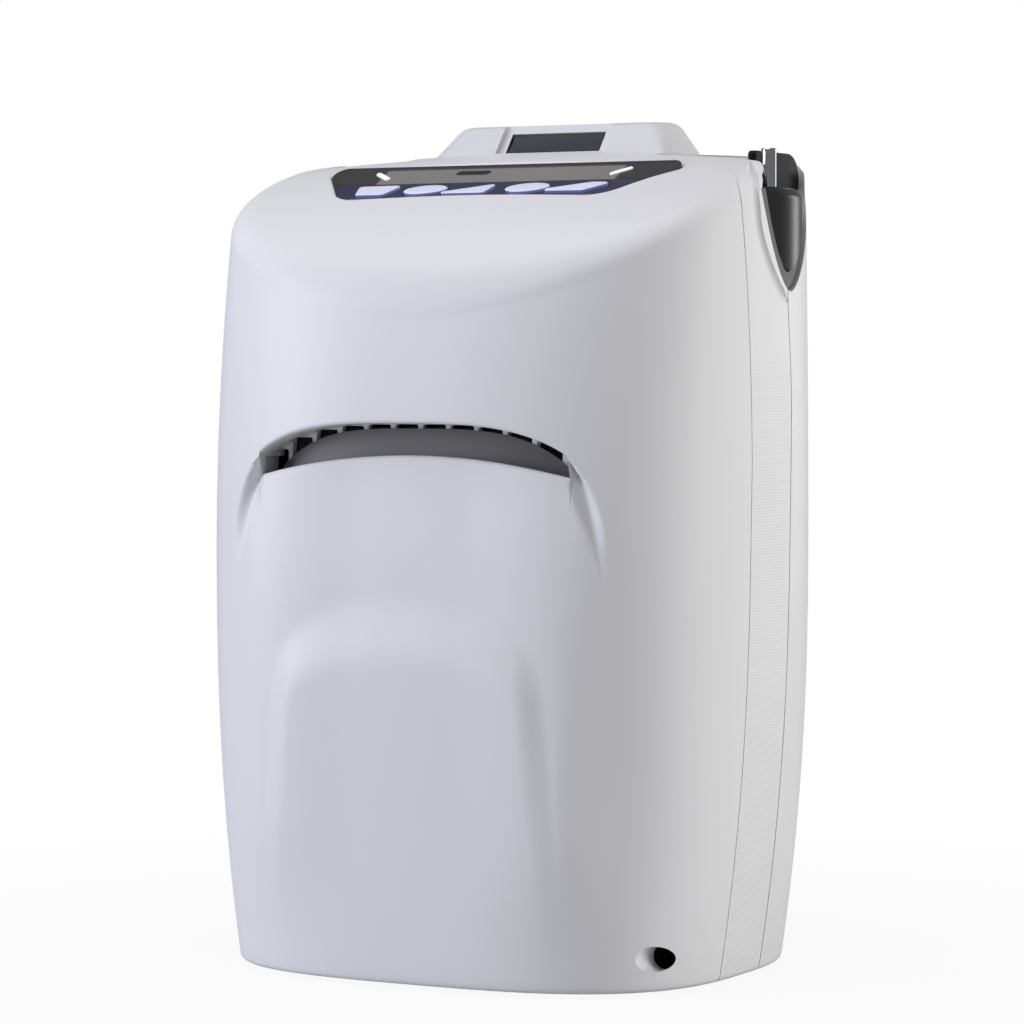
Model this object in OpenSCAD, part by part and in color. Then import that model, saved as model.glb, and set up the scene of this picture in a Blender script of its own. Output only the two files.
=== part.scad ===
// Portable oxygen concentrator: a lofted case in three shells, push keys,
// a slide-in battery and the gas train that the case holds.
// Lengths are in mm. X points right, Y to the rear and Z up from the table.

/* [Case] */
// Widest width of the case
case_w = 212; // [200:1:236]
// Deepest depth of the case
case_d = 168; // [160:1:190]
// Height of the deck on top
deck_z = 302; // [292:1:326]
// Height of the widest belt
belt_z = 150; // [120:1:180]
// Wall of the case shells
wall = 2.6; // [2:0.1:3.4]
// Height of the case edge above the table
edge_z = 1.5; // [1:0.1:3]
// Sideways draw-in at the base
base_in = 10; // [4:0.5:13]
// Draw-in of the front at the base
front_in = 4; // [1:0.5:7]
// Draw-in of the rear at the base
rear_in = 6.5; // [2:0.5:9]
// Lean of the front towards the deck
lean_back = 24; // [12:1:30]
// Drop of the deck at its sides
crown = 4.5; // [2:0.5:7]
// Rounding where the wall meets the roof
rim_r = 7; // [4:0.5:10]

/* [Seams] */
// Open gap of the parting lines
seam_gap = 0.4; // [0.2:0.1:0.8]
// Front parting line, before the middle
seam_front = 14; // [10:1:20]
// Main seam at the base, behind the middle
seam_rear = 9.5; // [7:0.5:14]

/* [Vent] */
// Height of the hood lip over the vent mouth
mouth_z = 201.5; // [190:0.5:212]
// Half width of the sunken tongue
tongue_w = 77; // [72:1:82]
// Half width of the vent mouth
mouth_w = 63; // [56:1:66]
// Open height of the mouth in the middle
mouth_h = 11.5; // [9:0.5:15]
// Depth of the mouth behind the hood
mouth_deep = 13; // [11:0.5:16]
// Set-back of the tongue at its top edge
tongue_in = 5.5; // [4:0.5:9.5]
// Height where the raised lower panel begins
panel_top = 116; // [100:1:130]
// Number of vent slots
slot_n = 10; // [6:1:12]
// Pitch of the vent slots
slot_pitch = 11.3; // [9:0.1:12]
// Rib left between two slots
slot_rib = 1.8; // [1.6:0.1:4]

/* [Controls] */
// Lower edge of the key recess, before the middle
key_y = 34.5; // [30:0.5:38]
// Upper edge of the key recess, before the middle
key_back = 2; // [1.6:0.2:5]
// Slope of the key panel
key_tilt = 18; // [14:1:21]
// Thickness of the key panel
panel_t = 2; // [1.5:0.1:2.4]
// Press travel of a key
key_travel = 0.8; // [0.5:0.1:1]
// Height of a key above its panel
key_h = 1.2; // [1.1:0.1:1.6]
// Gap round each key
key_gap = 0.35; // [0.3:0.05:0.5]

/* [Display] */
// Front foot of the display pod, behind the middle
pod_y = 28; // [26:0.5:32]
// Depth of the display pod
pod_d = 32; // [29:0.5:34]
// Height of the display pod above the deck
pod_h = 11; // [9:0.5:14]
// Width of the display window
lens_w = 40; // [32:0.5:48]

/* [Battery] */
// Width of the battery pack
bat_w = 35.5; // [32:0.5:36]
// Depth of the battery pack
bat_d = 37; // [33:0.5:37.5]
// Length of the battery pack
bat_h = 200; // [170:1:206]
// Outer face of the pack, inside the widest width
bat_in = 17.5; // [17:0.5:19]
// Front face of the pack, behind the middle
bat_y = 13.5; // [13:0.5:15]
// Sliding gap round the pack
bat_gap = 0.4; // [0.3:0.05:0.6]
// Wall of the battery bay
bay_t = 1.6; // [1.2:0.1:1.8]

/* [Ports] */
// Outside diameter of the oxygen outlet tube
nozzle_d = 5.6; // [5:0.1:6.5]
// Bore of the oxygen outlet tube
nozzle_bore = 3; // [2:0.1:3.6]
// Free length of the oxygen outlet tube
nozzle_h = 14; // [11:0.5:18]
// Bore of the power inlet
inlet_d = 8.6; // [7:0.1:9.5]
// Height of the power inlet
inlet_z = 13.5; // [12:0.5:16]

/* [Gas train] */
// Diameter of a sieve column
col_d = 36; // [30:0.5:37]
// Length of a sieve column
col_h = 160; // [146:1:166]
// Reach of a compressor head from the middle
head_reach = 46; // [42:0.5:48]
// Diameter of a compressor head
head_d = 40; // [34:0.5:44]
// Side of the square cooling fan
fan_s = 60; // [50:1:64]
// Thickness of the cooling fan
fan_t = 15; // [12:0.5:16]
// Diameter of the product tank
tank_d = 40; // [34:0.5:42]
// Height of the product tank
tank_h = 140; // [110:1:160]
// Diameter of the rubber feet
foot_d = 14; // [10:0.5:18]

/* [Hidden] */
$fn = 40;

white = [0.9, 0.9, 0.93];
grey = [0.55, 0.54, 0.53];
dark = [0.22, 0.22, 0.22];
navy = [0.13, 0.15, 0.22];
steel = [0.75, 0.76, 0.78];

// Plan of the case is a rounded square with this power; the nose of the roof has its own.
plan_n = 3;
nose_p = 1.6;
nose_z = deck_z - 58;
nose_len = pod_y + case_d / 2 - 8;
rim_f = 0.085;

// Half sizes of the case at a height.
function lo(z) = max(0, belt_z - z) / belt_z;
function up(z) = max(0, z - belt_z) / (deck_z - belt_z);
function half_w(z) = case_w / 2 - base_in * pow(lo(z), 2.3) - 1.5 * pow(up(z), 2);
function half_f(z) = case_d / 2 - front_in * pow(lo(z), 2.3) - lean_back * pow(up(z), 2);
function half_r(z) = case_d / 2 - rear_in * pow(lo(z), 1.7) - 1.5 * pow(up(z), 2);

// Radius of the plan towards an angle, set in by k.
function plan_r(t, z, k) =
    let (a = half_w(z) - k, b = (sin(t) < 0 ? half_f(z) : half_r(z)) - k)
    1 / pow(pow(abs(cos(t)) / a, plan_n) + pow(abs(sin(t)) / b, plan_n), 1 / plan_n);
function front_y(x, z) = -half_f(z) * pow(1 - pow(min(1, abs(x) / half_w(z)), plan_n), 1 / plan_n);
function rear_y(x, z) = half_r(z) * pow(1 - pow(min(1, abs(x) / half_w(z)), plan_n), 1 / plan_n);

// Height of the roof over a point of the plan.
function nose(y) = let (u = min(1, max(0, (pod_y - y) / nose_len))) pow(1 - pow(u, nose_p), 1 / nose_p);
function roof_z(x, y) = nose_z + (deck_z - nose_z) * nose(y) - crown * pow(2 * x / case_w, 2);
function rim_z(t, k, z, n) = n == 0 ? z
    : let (r = plan_r(t, z, k)) rim_z(t, k, roof_z(r * cos(t), r * sin(t)) - k - rim_r, n - 1);

// Tongue below the vent: how far it lies behind the case surface.
function ease(a, b, v) = let (t = min(1, max(0, (v - a) / (b - a)))) t * t * (3 - 2 * t);
function tongue_edge(x) = mouth_z - mouth_h - 7.5 * pow(x / mouth_w, 2);
function arch_z(x) = mouth_z - 51.5 + 51.5 * pow(1 - pow(min(1, abs(x) / tongue_w), 3.1), 1 / 3.1);
function raised(x, z) = (1 - ease(panel_top - 2, panel_top + 24, z))
    * (1 - ease(45 + 0.09 * (panel_top - z), 55 + 0.09 * (panel_top - z), abs(x)));
function tongue_side(z) = mouth_w - 2 + 0.33 * max(0, mouth_z - 17.5 - z);
function dip(x, z) = (tongue_in * pow(max(0, z - 8) / (mouth_z - 19.5), 1.3) * (1 - 0.92 * raised(x, z))
        - 4.6 * pow(min(1, abs(x) / mouth_w), 3.4) * ease(8, 60, z)) * (1 - ease(mouth_w, tongue_w, abs(x)))
    + 4.5 * ease(tongue_side(z), tongue_side(z) + 9, abs(x)) * (1 - ease(tongue_w - 4, tongue_w, abs(x)))
        * ease(panel_top, panel_top + 35, z);

// Height where a column of the wall meets the hood lip, or the same level beside it.
function lip_z(t) = let (x = plan_r(t, mouth_z - 10, 0) * cos(t))
    sin(t) < 0 && abs(x) < tongue_w ? arch_z(x) : mouth_z - 51.5;

// Heights of a wall column: n1 steps up to just under the lip, one over its edge, n2 up to the rim.
function wall_zs(t, k, zb, n1, n2) = let (za = lip_z(t) + k, zt = rim_z(t, k, nose_z, 8)) concat(
    [for (j = [0:n1]) zb + (za - 0.8 - zb) * j / n1], [for (j = [0:n2]) za + (zt - za) * j / n2]);

// One point of the wall, and one of the roof at the share f of its radius.
function wall_pt(t, z, k, sunk) = let (r = plan_r(t, z, k), x = r * cos(t), y = r * sin(t))
    [x, sunk && sin(t) < 0 ? y + dip(x, z) : y, z];
function roof_pt(t, f, k) =
    let (r = plan_r(t, rim_z(t, k, nose_z, 8), k) * f, q = max(0, (f - 1 + rim_f) / rim_f),
        x = r * cos(t), y = r * sin(t))
    [x, y, roof_z(x, y) - k - rim_r * (1 - sqrt(1 - q * q))];

// Directions of the wall columns: na round the front half and nb round the rear half.
function columns(na, nb) = concat([for (i = [0:na - 1]) -(i + 0.5) * 180 / na],
    [for (i = [0:nb - 1]) -180 - (i + 0.5) * 180 / nb]);

// Faces with their points in the other order.
function flip(fs) = [for (f = fs) [for (i = [len(f) - 1:-1:0]) f[i]]];

// Closed skin from rows of equal length, with a point at the top.
function skin_faces(rows, n) = concat(
    [[for (i = [0:n - 1]) i]],
    [for (j = [0:rows - 2], i = [0:n - 1]) [j * n + i, j * n + n + i, j * n + (i + 1) % n]],
    [for (j = [0:rows - 2], i = [0:n - 1]) [j * n + (i + 1) % n, j * n + n + i, j * n + n + (i + 1) % n]],
    [for (i = [0:n - 1]) [(rows - 1) * n + i, rows * n, (rows - 1) * n + (i + 1) % n]]);

// Solid of the whole case, set in by k, from the height zb up; sunk lets the tongue into its front.
module body(k, zb, turn, n1, n2, caps, foot, sunk) {
    n = len(turn);
    fs = concat([for (q = [60, 30, 0]) 1 - rim_f * (1 - sin(q))],
        [for (j = [1:caps - 1]) (1 - rim_f) * (1 - j / caps)]);
    low = foot > 0 ? [[for (t = turn) let (r = plan_r(t, zb, k + foot)) [r * cos(t), r * sin(t), zb]]] : [];
    heights = [for (t = turn) wall_zs(t, k, zb + foot, n1, n2)];
    side = [for (j = [0:n1 + n2 + 1])
        [for (i = [0:n - 1]) wall_pt(turn[i], heights[i][j], k, sunk && j <= n1)]];
    top = [for (f = fs) [for (t = turn) roof_pt(t, f, k)]];
    rows = concat(low, side, top);
    pts = concat([for (r = rows) each r], [roof_pt(0, 0, k)]);
    polyhedron(pts, flip(skin_faces(len(rows), n)), convexity = 8);
}
module outside() {
    body(0, edge_z, columns(24, 36), 6, 5, 8, 2, false);
}
module inside() {
    body(wall, edge_z + 2, columns(20, 24), 4, 4, 6, 0, false);
}
module front_outside() {
    body(0, edge_z, columns(52, 6), 13, 5, 7, 2, true);
}
module front_inside() {
    body(wall, edge_z + 2, columns(24, 6), 6, 3, 5, 0, true);
}

// Slab before the case front: from far in front back to the case surface plus the depth deep(x, z).
module front_slab(x1, z1, z2, nx, nz, deep) {
    xs = [for (i = [0:nx]) -x1 + 2 * x1 * i / nx];
    zs = [for (j = [0:nz]) z1 + (z2 - z1) * j / nz];
    m = nx + 1;
    c = m * (nz + 1);
    far = -case_d;
    back = [for (z = zs, x = xs) [x, front_y(x, z) + deep(x, z), z]];
    fore = [for (z = zs, x = xs) [x, far, z]];
    edge = concat([for (i = [0:nx]) i], [for (j = [1:nz]) j * m + nx],
        [for (i = [1:nx]) nz * m + nx - i], [for (j = [1:1:nz - 1]) (nz - j) * m]);
    ne = len(edge);
    polyhedron(concat(back, fore), flip(concat(
        [for (j = [0:nz - 1], i = [0:nx - 1]) [j * m + i, j * m + m + i, j * m + i + 1]],
        [for (j = [0:nz - 1], i = [0:nx - 1]) [j * m + i + 1, j * m + m + i, j * m + m + i + 1]],
        [for (j = [0:nz - 1], i = [0:nx - 1]) [c + j * m + i, c + j * m + i + 1, c + j * m + m + i]],
        [for (j = [0:nz - 1], i = [0:nx - 1]) [c + j * m + i + 1, c + j * m + m + i + 1, c + j * m + m + i]],
        [for (i = [0:ne - 1]) [edge[i], edge[(i + 1) % ne], c + edge[i]]],
        [for (i = [0:ne - 1]) [edge[(i + 1) % ne], c + edge[(i + 1) % ne], c + edge[i]]])), convexity = 8);
}

mouth = concat([for (i = [-20:20]) let (x = mouth_w * i / 20) [x, arch_z(x) - 0.3]],
    [for (i = [-20:20]) let (x = -mouth_w * i / 20) [x, tongue_edge(x)]]);

// Prism through the case front from an outline in X and Z.
module front_prism(pts) {
    translate([0, 0, 0]) rotate([90, 0, 0]) linear_extrude(case_d) polygon(pts);
}
module mouth_cuts() {
    intersection() {
        front_slab(mouth_w + 2, tongue_edge(mouth_w) - 8, mouth_z + 2, 19, 1, function (x, z) mouth_deep);
        front_prism(mouth);
    }
    difference() {
        front_slab(mouth_w - 3, tongue_edge(mouth_w) - 5, tongue_edge(0) + 2, 17, 2,
            function (x, z) mouth_deep - 0.4);
        front_slab(mouth_w + 6, tongue_edge(mouth_w) - 8, mouth_z, 15, 3, function (x, z) dip(x, z) + 2.4);
    }
}
module mouth_keep() {
    front_slab(mouth_w + wall, tongue_edge(mouth_w) - 5 - wall, mouth_z + wall + 0.8, 13, 1,
        function (x, z) mouth_deep + wall);
}
module vent_slots() {
    w = (slot_pitch - slot_rib) / 2 - 1.2;
    for (i = [0:slot_n - 1]) let (x = (i - (slot_n - 1) / 2) * slot_pitch, z = arch_z(x))
        hull() for (dx = [-w, w], dz = [-1.8, -6])
            translate([x + dx, front_y(x, z) + mouth_deep - 3, z + dz])
                rotate([-90, 0, 0]) cylinder(r = 1.2, h = 12, $fn = 8);
}

// Key recess in the roof.
recess_y = -key_y;
recess_z = roof_z(0, recess_y) - 1.4;
panel_len = 21;
panel_end_y = recess_y + panel_len * cos(key_tilt);
panel_end_z = recess_z + panel_len * sin(key_tilt);
module recess_plan(k) {
    hull() {
        for (s = [-1, 1]) {
            translate([s * 46.5, recess_y + 16]) circle(16 + k, $fn = 48);
            translate([s * 68, -key_back - 5]) circle(5 + k, $fn = 24);
        }
    }
}
module recess_cut() {
    translate([0, 0, recess_z - 12]) linear_extrude(60) recess_plan(0);
}
module recess_collar() {
    intersection() {
        translate([0, 0, recess_z - 5]) linear_extrude(60) recess_plan(2);
        body(0.6, edge_z, columns(40, 8), 3, 3, 8, 0, false);
    }
}

// Curves of the two parting lines over the height: bowed, the front one swept back over the shoulder.
bow_z = belt_z + 35;
shoulder_z = deck_z - 22.7;
seam_roof = 10.5;
function seam1(z) = z > shoulder_z
    ? min(seam_roof, -seam_front - 7 + 39 * pow((z - shoulder_z) / 20, 2.25))
    : -seam_front - 1.5 - (z < bow_z ? 5.2 * pow((bow_z - z) / (bow_z - 15), 0.9)
        : 5.5 * pow((z - bow_z) / (shoulder_z - bow_z), 2));
function seam2(z) = seam_rear + 1.5 + 0.037 * z - 4.5 * exp(-pow((z - deck_z + 52) / 25, 2));
seam_zs = concat([-10, 20, 60, 100, 140], [for (i = [0:4]) bow_z + (shoulder_z - bow_z) * i / 5],
    [for (i = [0:9]) shoulder_z + 2 * i], [deck_z - 3.7, deck_z, deck_z + 20]);
module side_prism(pts) {
    translate([-case_w, 0, 0]) rotate([90, 0, 90]) linear_extrude(2 * case_w) polygon(pts);
}
module before_seam1() {
    side_prism(concat([for (z = seam_zs) [seam1(z) - seam_gap / 2, z]],
        [[-case_d, deck_z + 20], [-case_d, -10]]));
}
module between_seams() {
    n = len(seam_zs);
    side_prism(concat([for (z = seam_zs) [seam1(z) + seam_gap / 2, z]],
        [for (i = [n - 1:-1:0]) [seam2(seam_zs[i]) - seam_gap / 2, seam_zs[i]]]));
}
module behind_seam2() {
    side_prism(concat([for (z = seam_zs) [seam2(z) + seam_gap / 2, z]],
        [[case_d, deck_z + 20], [case_d, -10]]));
}

// Battery bays and the V notch outside the right one.
bat_x2 = case_w / 2 - bat_in;
bat_x1 = bat_x2 - bat_w;
bat_y2 = bat_y + bat_d;
bat_z2 = deck_z - 15;
bat_z1 = bat_z2 - bat_h;
bay_x1 = bat_x1 - bat_gap;
bay_x2 = bat_x2 + bat_gap;
bay_y1 = bat_y - bat_gap;
bay_y2 = bat_y2 + bat_gap;
notch_y = bat_y + 5.5;
notch_z = deck_z - 53.3;
notch_r = 25.5;
notch_back = bat_y2 + 1.5 - notch_y;
notch_top = 36;
function notch_h(u) = notch_top * pow(u, 1.85);
function notch_pts(k) = concat(
    [[bay_y1 + k, deck_z + 30], [bay_y1 + k, deck_z - 4], [bay_y1 - 8 + k, deck_z - 8],
        [bay_y1 - 15 + k, deck_z - 12]],
    [for (i = [-9:9]) let (u = i / 9) [notch_y + (u < 0 ? notch_r - k : notch_back - k) * u,
        notch_z + 1.75 * k + notch_top * pow(abs(u), u < 0 ? 1.85 : 1.5)]],
    [[notch_y + notch_back - k, deck_z + 30]]);
module notch_prism(x1, x2, k) {
    translate([x1, 0, 0]) rotate([90, 0, 90]) linear_extrude(x2 - x1) polygon(notch_pts(k));
}
module bay_cut() {
    for (s = [-1, 1])
        translate([s > 0 ? bay_x1 : -bay_x2, bay_y1, bat_z2 - 10])
            cube([bay_x2 - bay_x1, bay_y2 - bay_y1, 60]);
    notch_prism(bay_x2 + bay_t + 0.3, case_w, 0);
    translate([bay_x2 - 1, bay_y1, bat_z2 - 0.5])
        cube([tab_x + tab_t + 1.5 - bay_x2, bay_y2 + 2.5 - bay_y1, 40]);
}
// Groove that follows the notch outside its rim.
function groove_pt(j) = let (u = j / 9, z = notch_z - 6.5 + notch_h(abs(u)))
    [half_w(z) + 0.9, notch_y + (notch_r + 4.6) * u, z];
groove_way = concat([[case_w / 2 - 8, 1, deck_z - 6.2], [case_w / 2 - 3.6, -5.2, deck_z - 9.9],
    [case_w / 2 - 0.7, -9.8, deck_z - 14.2], [case_w / 2 + 0.2, -11, deck_z - 19]],
    [for (j = [-9:-2]) groove_pt(j)]);
module notch_groove() {
    for (j = [0:len(groove_way) - 2])
        hull() for (i = [j, j + 1]) translate(groove_way[i]) sphere(r = 2.6, $fn = 10);
}

// White front housing with hood, vent mouth and tongue.
inlet_x = case_w / 2 - 19.5;
inlet_y = -33;
module front_cover() color(white) {
    difference() {
        union() {
            difference() {
                intersection() {
                    front_outside();
                    before_seam1();
                }
                difference() {
                    front_inside();
                    mouth_keep();
                }
                translate([0, 0, -20 + edge_z]) linear_extrude(25) polygon(base_ring(9));
            }
            intersection() {
                recess_collar();
                before_seam1();
            }
            intersection() {
                translate([inlet_x, inlet_y, inlet_z]) rotate([90, 0, 0]) cylinder(d = inlet_d + 5, h = 45);
                body(0.8, edge_z, columns(40, 8), 6, 3, 3, 2, false);
            }
        }
        mouth_cuts();
        vent_slots();
        recess_cut();
        translate([inlet_x, inlet_y + 1, inlet_z]) rotate([90, 0, 0]) cylinder(d = inlet_d + 0.6, h = 60);
    }
}
front_cover();

// Narrow side band with the notch and its grooved rim.
module middle_frame() color(white) {
    difference() {
        intersection() {
            outside();
            between_seams();
        }
        inside();
        translate([0, 0, -20 + edge_z]) linear_extrude(25) polygon(base_ring(9));
        bay_cut();
        notch_groove();
        translate([0, 0, recess_z - 12]) linear_extrude(60) recess_plan(2.4);
    }
}
middle_frame();

// Plan of the base at the case edge, set in by k.
function base_ring(k) = [for (i = [0:63]) let (t = i * 360 / 64, r = plan_r(t, edge_z, k))
    [r * cos(t), r * sin(t)]];

// White rear housing with the deck of the display pod and the air intake.
intake_w = 42;
intake_z1 = 56;
intake_z2 = 144;
module rear_window(k, y) {
    translate([-intake_w + k, y, intake_z1 + k])
        cube([2 * intake_w - 2 * k, case_d, intake_z2 - intake_z1 - 2 * k]);
}
module rear_cover() color(white) {
    difference() {
        union() {
            difference() {
                intersection() {
                    outside();
                    behind_seam2();
                }
                inside();
                translate([0, 0, -20 + edge_z]) linear_extrude(25) polygon(base_ring(9));
            }
            intersection() {
                translate([-intake_w - 4, case_d / 2 - 16, intake_z1 - 4])
                    cube([2 * intake_w + 8, 16, intake_z2 - intake_z1 + 8]);
                body(1.4, edge_z, columns(8, 36), 5, 3, 3, 0, false);
            }
            translate([-pod_x - 2, pod_y - 2, deck_z - 9]) cube([2 * pod_x + 4, pod_d + 4, 7]);
        }
        rear_window(-0.4, case_d / 2 - 13.4);
        rear_window(4, 0);
        rear_slots();
        bay_cut();
        translate([-pod_x, pod_y, deck_z - 4]) cube([2 * pod_x, pod_d, 30]);
        translate([-pod_x + 4, pod_y + 4, deck_z - 20]) cube([2 * pod_x - 8, pod_d - 8, 30]);
    }
}
module rear_slots() {
    for (i = [0:4], s = [-1, 1])
        hull() for (dx = [-20, 20])
            translate([dx + s * 24, case_d / 2 - 20, 22 + i * 6])
                rotate([-90, 0, 0]) cylinder(r = 1.2, h = 40, $fn = 8);
}
rear_cover();

// Base plate lying on the inner lip of the shells, with seats for the sieve columns.
plate_z = edge_z + 2 + 0.1;
plate_t = 2.6;
floor_z = plate_z + plate_t;
module base_plate() color(dark) {
    seat_d = max(8, min(col_d - 12, 2 * (inlet_x - inlet_d / 2 - 2 - col_x)));
    difference() {
        union() {
            translate([0, 0, plate_z]) linear_extrude(plate_t) polygon(base_ring(wall + 1));
            for (s = [-1, 1])
                translate([s * col_x, col_y, floor_z - 0.5])
                    cylinder(d = seat_d, h = col_z - floor_z + 0.5);
        }
        for (p = screw_at) {
            translate([p[0], p[1], plate_z - 1]) cylinder(d = 3.4, h = 6);
            translate([p[0], p[1], plate_z - 1]) cylinder(d = 6.4, h = 2.4);
        }
    }
}
base_plate();

// Rubber feet under the plate.
module feet() color(dark) {
    for (sx = [-1, 1], sy = [-1, 1])
        translate([sx * (case_w / 2 - 50), sy * (case_d / 2 - 38), 0]) {
            cylinder(d1 = foot_d - 2, d2 = foot_d, h = 1);
            translate([0, 0, 1]) cylinder(d = foot_d, h = plate_z - 1);
        }
}
feet();

// Screws that hold the chassis on the plate.
leg_w = 28;
screw_at = [for (sx = [-1, 1], d = [5, leg_w - 8]) [sx * (bay_x1 + d), bay_y1 + d]];
module base_screws() color(steel) {
    for (p = screw_at)
        translate([p[0], p[1], plate_z + 0.1]) {
            cylinder(d = 6, h = 1.2);
            cylinder(d = 3, h = 10);
        }
}
base_screws();

// Inner chassis: two battery bays joined by a bulkhead.
chassis_top = bat_z2 - 1.4;
module bay_plan(k) {
    r = 3 + k;
    w = bay_x2 - bay_x1 + 2 * k;
    d = bay_y2 - bay_y1 + 2 * k;
    translate([bay_x1 - k, bay_y1 - k]) {
        translate([r, 0]) square([w - 2 * r, d]);
        translate([0, r]) square([w, d - 2 * r]);
        for (x = [r, w - r], y = [r, d - r]) translate([x, y]) circle(r);
    }
}
module inner_chassis() color(grey) {
    difference() {
        union() {
            for (m = [0, 1]) mirror([m, 0, 0]) {
                translate([0, 0, bat_z1 - 5]) linear_extrude(chassis_top - bat_z1 + 5) bay_plan(bay_t);
                translate([bay_x1 - bay_t, bay_y1 - bay_t, floor_z])
                    cube([leg_w, leg_w, bat_z1 - 4 - floor_z]);
            }
            translate([-bay_x1, bay_y1 - bay_t, floor_z])
                cube([2 * bay_x1, 2.4, chassis_top - floor_z - 24]);
        }
        for (m = [0, 1]) mirror([m, 0, 0]) {
            translate([0, 0, bat_z1 - 2]) linear_extrude(deck_z) bay_plan(0);
            translate([bay_x1, bay_y1, floor_z + 12])
                cube([leg_w, leg_w - 2 * bay_t, bat_z1 - 5 - floor_z - 12]);
        }
        for (p = screw_at)
            translate([p[0], p[1], floor_z - 1]) cylinder(d = 3.1, h = 11);
        translate([-24, 0, floor_z + 30]) cube([48, 40, 50]);
    }
}
inner_chassis();

// Grey wall at the back of the vent mouth; its curved edge leaves the tops of the slots open.
function baffle_top(x) = arch_z(x) - 2.6 - 2.6 * pow(x / mouth_w, 2);
module vent_baffle() color(grey) {
    difference() {
        intersection() {
            front_slab(mouth_w - 3.5, tongue_edge(mouth_w) - 4.5, mouth_z, 15, 1,
                function (x, z) mouth_deep - 0.6);
            front_prism(concat([for (i = [-12:12]) let (x = (mouth_w - 4) * i / 12) [x, baffle_top(x)]],
                [[mouth_w - 4, tongue_edge(mouth_w) - 4.4], [4 - mouth_w, tongue_edge(mouth_w) - 4.4]]));
        }
        front_slab(mouth_w, tongue_edge(mouth_w) - 8, mouth_z, 15, 1,
            function (x, z) mouth_deep - 2);
    }
}
vent_baffle();

// Black foam behind the slots.
foam_t = 6;
module vent_foam() color(dark) {
    difference() {
        front_slab(mouth_w - 4, tongue_edge(mouth_w) + 3, mouth_z - 1, 11, 1,
            function (x, z) mouth_deep + wall + foam_t);
        front_slab(mouth_w, tongue_edge(mouth_w) - 8, mouth_z + 4, 11, 1,
            function (x, z) mouth_deep + wall + 0.2);
    }
}
vent_foam();

// Local frame of the key panel: x across, y up the slope, z out of it.
module on_panel() {
    translate([0, recess_y, recess_z]) rotate([key_tilt, 0, 0]) children();
}
module recess_fill(k) {
    translate([0, 0, recess_z - 20]) linear_extrude(60) recess_plan(-k);
}
key_s = 9;
module key_shape(kind, k) {
    if (kind == 0)
        hull() for (p = [[-7, 4], [7, 4.5], [-4, -4], [5.5, -4]]) translate(p) circle(1.6 + k, $fn = 16);
    if (kind == 1)
        rotate(6) scale([1.6, 1]) circle(5.4 + k, $fn = 32);
    if (kind == 2)
        hull() for (p = [[-8.5, -4.4], [7.5, -4.4], [7.5, 3.8]]) translate(p) circle(1.1 + k, $fn = 12);
    if (kind == 3)
        hull() for (p = [[-10, -3.4], [4, -3.6], [9, 3.2], [4, 3.6]]) translate(p) circle(1.6 + k, $fn = 12);
}
key_x = [-44, -22, -3.5, 20.5, 41];
key_kind = [0, 1, 2, 1, 3];
module key(i) color(white) {
    on_panel() translate([key_x[i], key_s, -panel_t - 0.4])
        linear_extrude(panel_t + 0.4 + key_h) key_shape(key_kind[i], 0);
}

// Navy plate that the keys come through.
module key_panel() color(navy) {
    difference() {
        intersection() {
            on_panel() translate([-90, -2, -panel_t]) cube([180, panel_len + 1.6, panel_t]);
            recess_fill(0.2);
        }
        on_panel() for (i = [0:4])
            translate([key_x[i], key_s, -panel_t - 1])
                linear_extrude(panel_t + 2) key_shape(key_kind[i], key_gap);
    }
}
key_panel();
module key_power() key(0);
key_power();
module key_down() key(1);
key_down();
module key_up() key(2);
key_up();
module key_mode() key(3);
key_mode();
module key_mute() key(4);
key_mute();

// Grey sloped wall behind the keys, with seats for the window and the light bars.
bezel_run = -key_back - panel_end_y;
bezel_rise = roof_z(0, -key_back) - 0.6 - panel_end_z;
bezel_tilt = atan2(bezel_rise, bezel_run);
bezel_len = norm([bezel_run, bezel_rise]);
module on_bezel() {
    translate([0, panel_end_y, panel_end_z]) rotate([bezel_tilt, 0, 0]) children();
}
module pill(w, h, t) {
    hull() for (s = [-1, 1]) translate([s * (w - h) / 2, 0, 0]) cylinder(d = h, h = t, $fn = 24);
}
lights_x = 50;
module key_bezel() color(grey) {
    difference() {
        intersection() {
            on_bezel() translate([-90, 0, -2.4]) cube([180, bezel_len + 3, 2.4]);
            recess_fill(0.2);
        }
        on_bezel() translate([-12, bezel_len * 0.55, -1.5]) pill(14.4, 3.4, 4);
        for (s = [-1, 1])
            on_bezel() translate([s * lights_x, bezel_len * 0.45, -1.5]) rotate(s * 35) pill(9.4, 2.6, 4);
    }
}
key_bezel();
module status_window() color(dark) {
    on_bezel() translate([-12, bezel_len * 0.55, -1.4]) pill(14, 3, 1.6);
}
status_window();
module status_lights() color(white) {
    for (s = [-1, 1])
        on_bezel() translate([s * lights_x, bezel_len * 0.45, -1.4]) rotate(s * 35) pill(9, 2.2, 1.8);
}
status_lights();

// Switch board under the keys.
module keypad_board() color([0.1, 0.35, 0.2]) {
    difference() {
        on_panel() translate([-52, 2, -panel_t - 0.4 - key_travel - 0.2 - 1.2]) cube([104, 15, 1.2]);
        on_panel() translate([-60, -1, -20]) cube([120, 1, 20]);
    }
    on_panel() for (x = [-33, 8.5], y = [3.4, 15.5])
        translate([x, y, -panel_t - 0.4 - key_travel - 0.4]) cylinder(d = 2, h = key_travel + 0.7, $fn = 16);
}
keypad_board();

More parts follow.
